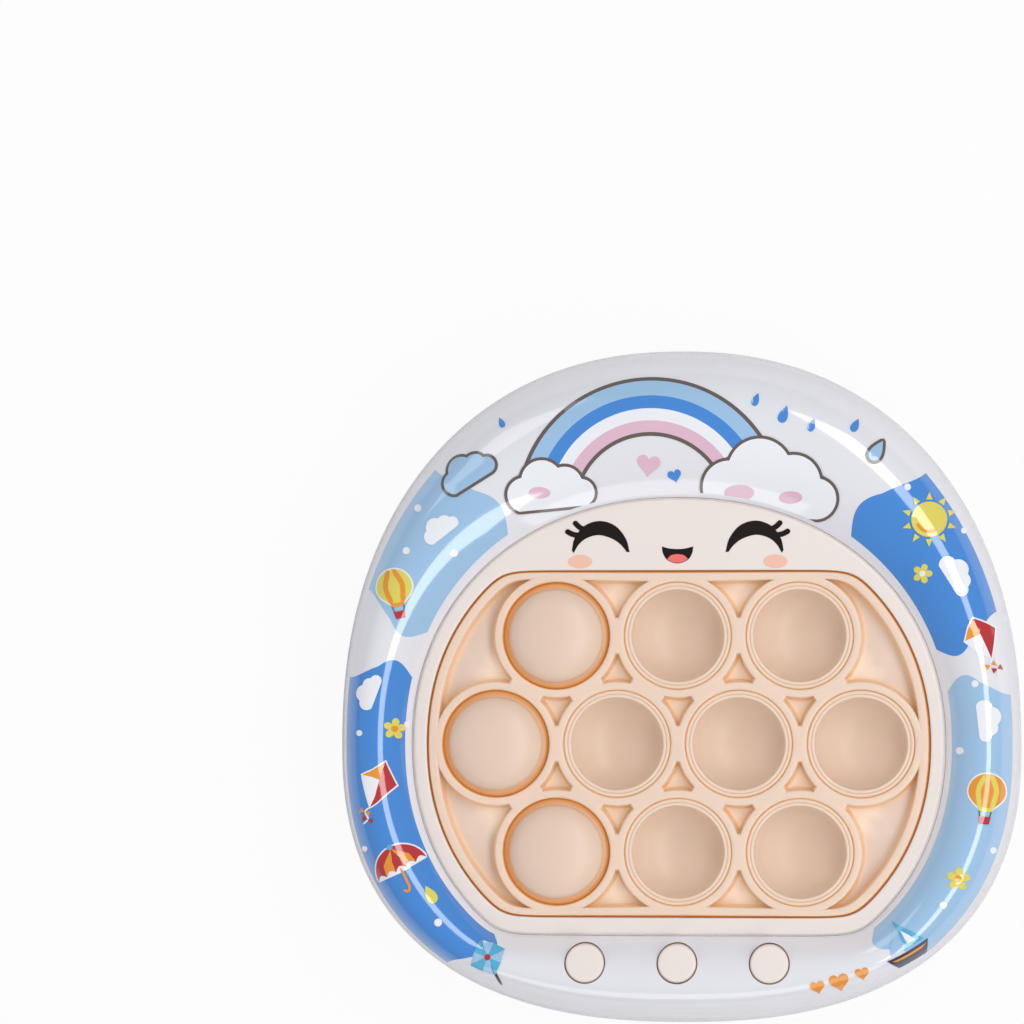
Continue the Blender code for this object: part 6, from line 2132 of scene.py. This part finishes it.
@dataclass
class Stage:
    """Pale floor, soft lamps and the camera."""

    view: tuple[float, float, float] = (0.0588, 0.0002, 1.2279)
    aim: tuple[float, float, float] = (-0.03875, 0.04066, 0.034)
    lens: float = 180.07
    floor_colour: tuple[float, float, float, float] = (0.76, 0.76, 0.77, 1)
    floor_white: float = 0.93
    sky_colour: tuple[float, float, float, float] = (0.97, 0.975, 1.0, 1)
    sky_strength: float = 0.36

    def build(self) -> None:
        """Sets up all that isn't the toy."""
        self._floor()
        self._world()
        self._lamps()
        data = bpy.data.cameras.new("camera")
        data.lens = self.lens
        data.sensor_width = 36.0
        data.clip_start, data.clip_end = 0.01, 50.0
        camera = bpy.data.objects.new("camera", data)
        bpy.context.scene.collection.objects.link(camera)
        camera.location = self.view
        camera.rotation_euler = facing(self.view, self.aim)
        bpy.context.scene.camera = camera
        bpy.context.scene.view_settings.view_transform = "Standard"

    def _floor(self) -> None:
        """Wide plain floor that shows white and keeps the soft shadow."""
        floor = mesh_object("floor", ((-3, -3, 0), (3, -3, 0), (3, 3, 0), (-3, 3, 0)), ((0, 1, 2, 3),))
        material = bpy.data.materials.new("floor_white")
        sheet = NodeSheet.of(material)
        matt = sheet.add("ShaderNodeBsdfDiffuse", {"Color": self.floor_colour})
        white = sheet.add("ShaderNodeEmission", {"Strength": 1.0})
        path = sheet.add("ShaderNodeLightPath")
        seen = sheet.sum("MULTIPLY", path.outputs["Is Camera Ray"], self.floor_white)
        sheet.end(seen, matt, white, "ShaderNodeOutputMaterial")
        floor.data.materials.append(material)

    def _world(self) -> None:
        """Even pale light from all round, white where the camera sees it."""
        world = bpy.data.worlds.new("studio")
        bpy.context.scene.world = world
        sheet = NodeSheet.of(world)
        path = sheet.add("ShaderNodeLightPath")
        glow = sheet.add("ShaderNodeBackground", {"Color": self.sky_colour, "Strength": self.sky_strength})
        white = sheet.add("ShaderNodeBackground", {"Strength": 1.0})
        sheet.end(path.outputs["Is Camera Ray"], glow, white, "ShaderNodeOutputWorld")

    def _lamp(self, name: str, place: Sequence[float], size: tuple[float, float], power: float,
              mirrored: bool = True) -> None:
        """Area lamp aimed at the toy, seen in its gloss or not."""
        data = bpy.data.lights.new(name, "AREA")
        data.shape = "RECTANGLE"
        data.size, data.size_y = size
        data.energy = power
        lamp = bpy.data.objects.new(name, data)
        bpy.context.scene.collection.objects.link(lamp)
        lamp.location = place
        lamp.rotation_euler = facing(place, (0, 0, 0))
        lamp.visible_glossy = mirrored

    def _lamps(self) -> None:
        """A long soft lamp on the right, one past the head and a fill at the foot."""
        self._lamp("main_right", (0.43, 0.06, 0.92), (0.34, 1.8), 6.9)
        self._lamp("head_left", (-0.55, 0.75, 0.75), (0.5, 0.5), 0.9)
        self._lamp("foot_fill", (0.0, -0.95, 0.5), (0.9, 0.4), 1.2)
        self._lamp("side_left", (-1.1, -0.05, 0.75), (0.7, 1.2), 3.2, mirrored=False)
        self._lamp("side_right", (1.1, -0.05, 0.75), (0.7, 1.2), 2.7, mirrored=False)


def dress_inner_nodes(finishes: Finishes) -> None:
    """Gives the nodes that stay their finishes."""
    table = {
        "rear_shell": finishes.shell, "board_frame": finishes.inner, "main_board": finishes.board,
        "control_chip": finishes.dark, "speaker": finishes.dark, "speaker_lead": finishes.lead,
        "battery_lead": finishes.lead, "battery_door": finishes.shell,
    }
    kinds = {
        "bubble_switch": finishes.milky, "button_switch": finishes.dark, "return_spring": finishes.steel,
        "board_screw": finishes.steel, "case_screw": finishes.steel, "door_screw": finishes.steel,
        "contact_": finishes.steel, "battery_1": finishes.cell, "battery_2": finishes.cell,
        "battery_3": finishes.cell, "foot_": finishes.rubber,
    }
    for name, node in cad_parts.items():
        if node.hide_render:
            continue
        like = (kind for start, kind in kinds.items() if name.startswith(start))
        finish = table.get(name) or next(like, finishes.inner)
        if not node.material_slots:
            node.data.materials.append(finish)
        for slot in node.material_slots:
            slot.link = "OBJECT"
            slot.material = finish


def main() -> None:
    """Builds and dresses the toy in order."""
    logging.basicConfig(level=logging.INFO, format="%(message)s")
    toy, grid, finishes = ToyOutline(), BubbleGrid(), Finishes()
    FrontShell(toy, finishes).build()
    SkyPrint(toy, finishes).build()
    FaceBezel(toy, finishes).build()
    BubbleSheet(toy, grid, finishes).build()
    Bubbles(grid, finishes).build()
    ButtonCaps(toy, finishes).build()
    shapes = NodeShapes()
    RearShell(toy, finishes, shapes).build()
    Fasteners(finishes, shapes).build()
    PowerPack(finishes, shapes).build()
    Springs(finishes, shapes).build()
    Leads(finishes, shapes).build()
    dress_inner_nodes(finishes)
    Stage().build()
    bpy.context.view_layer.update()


if __name__ == "__main__":
    main()
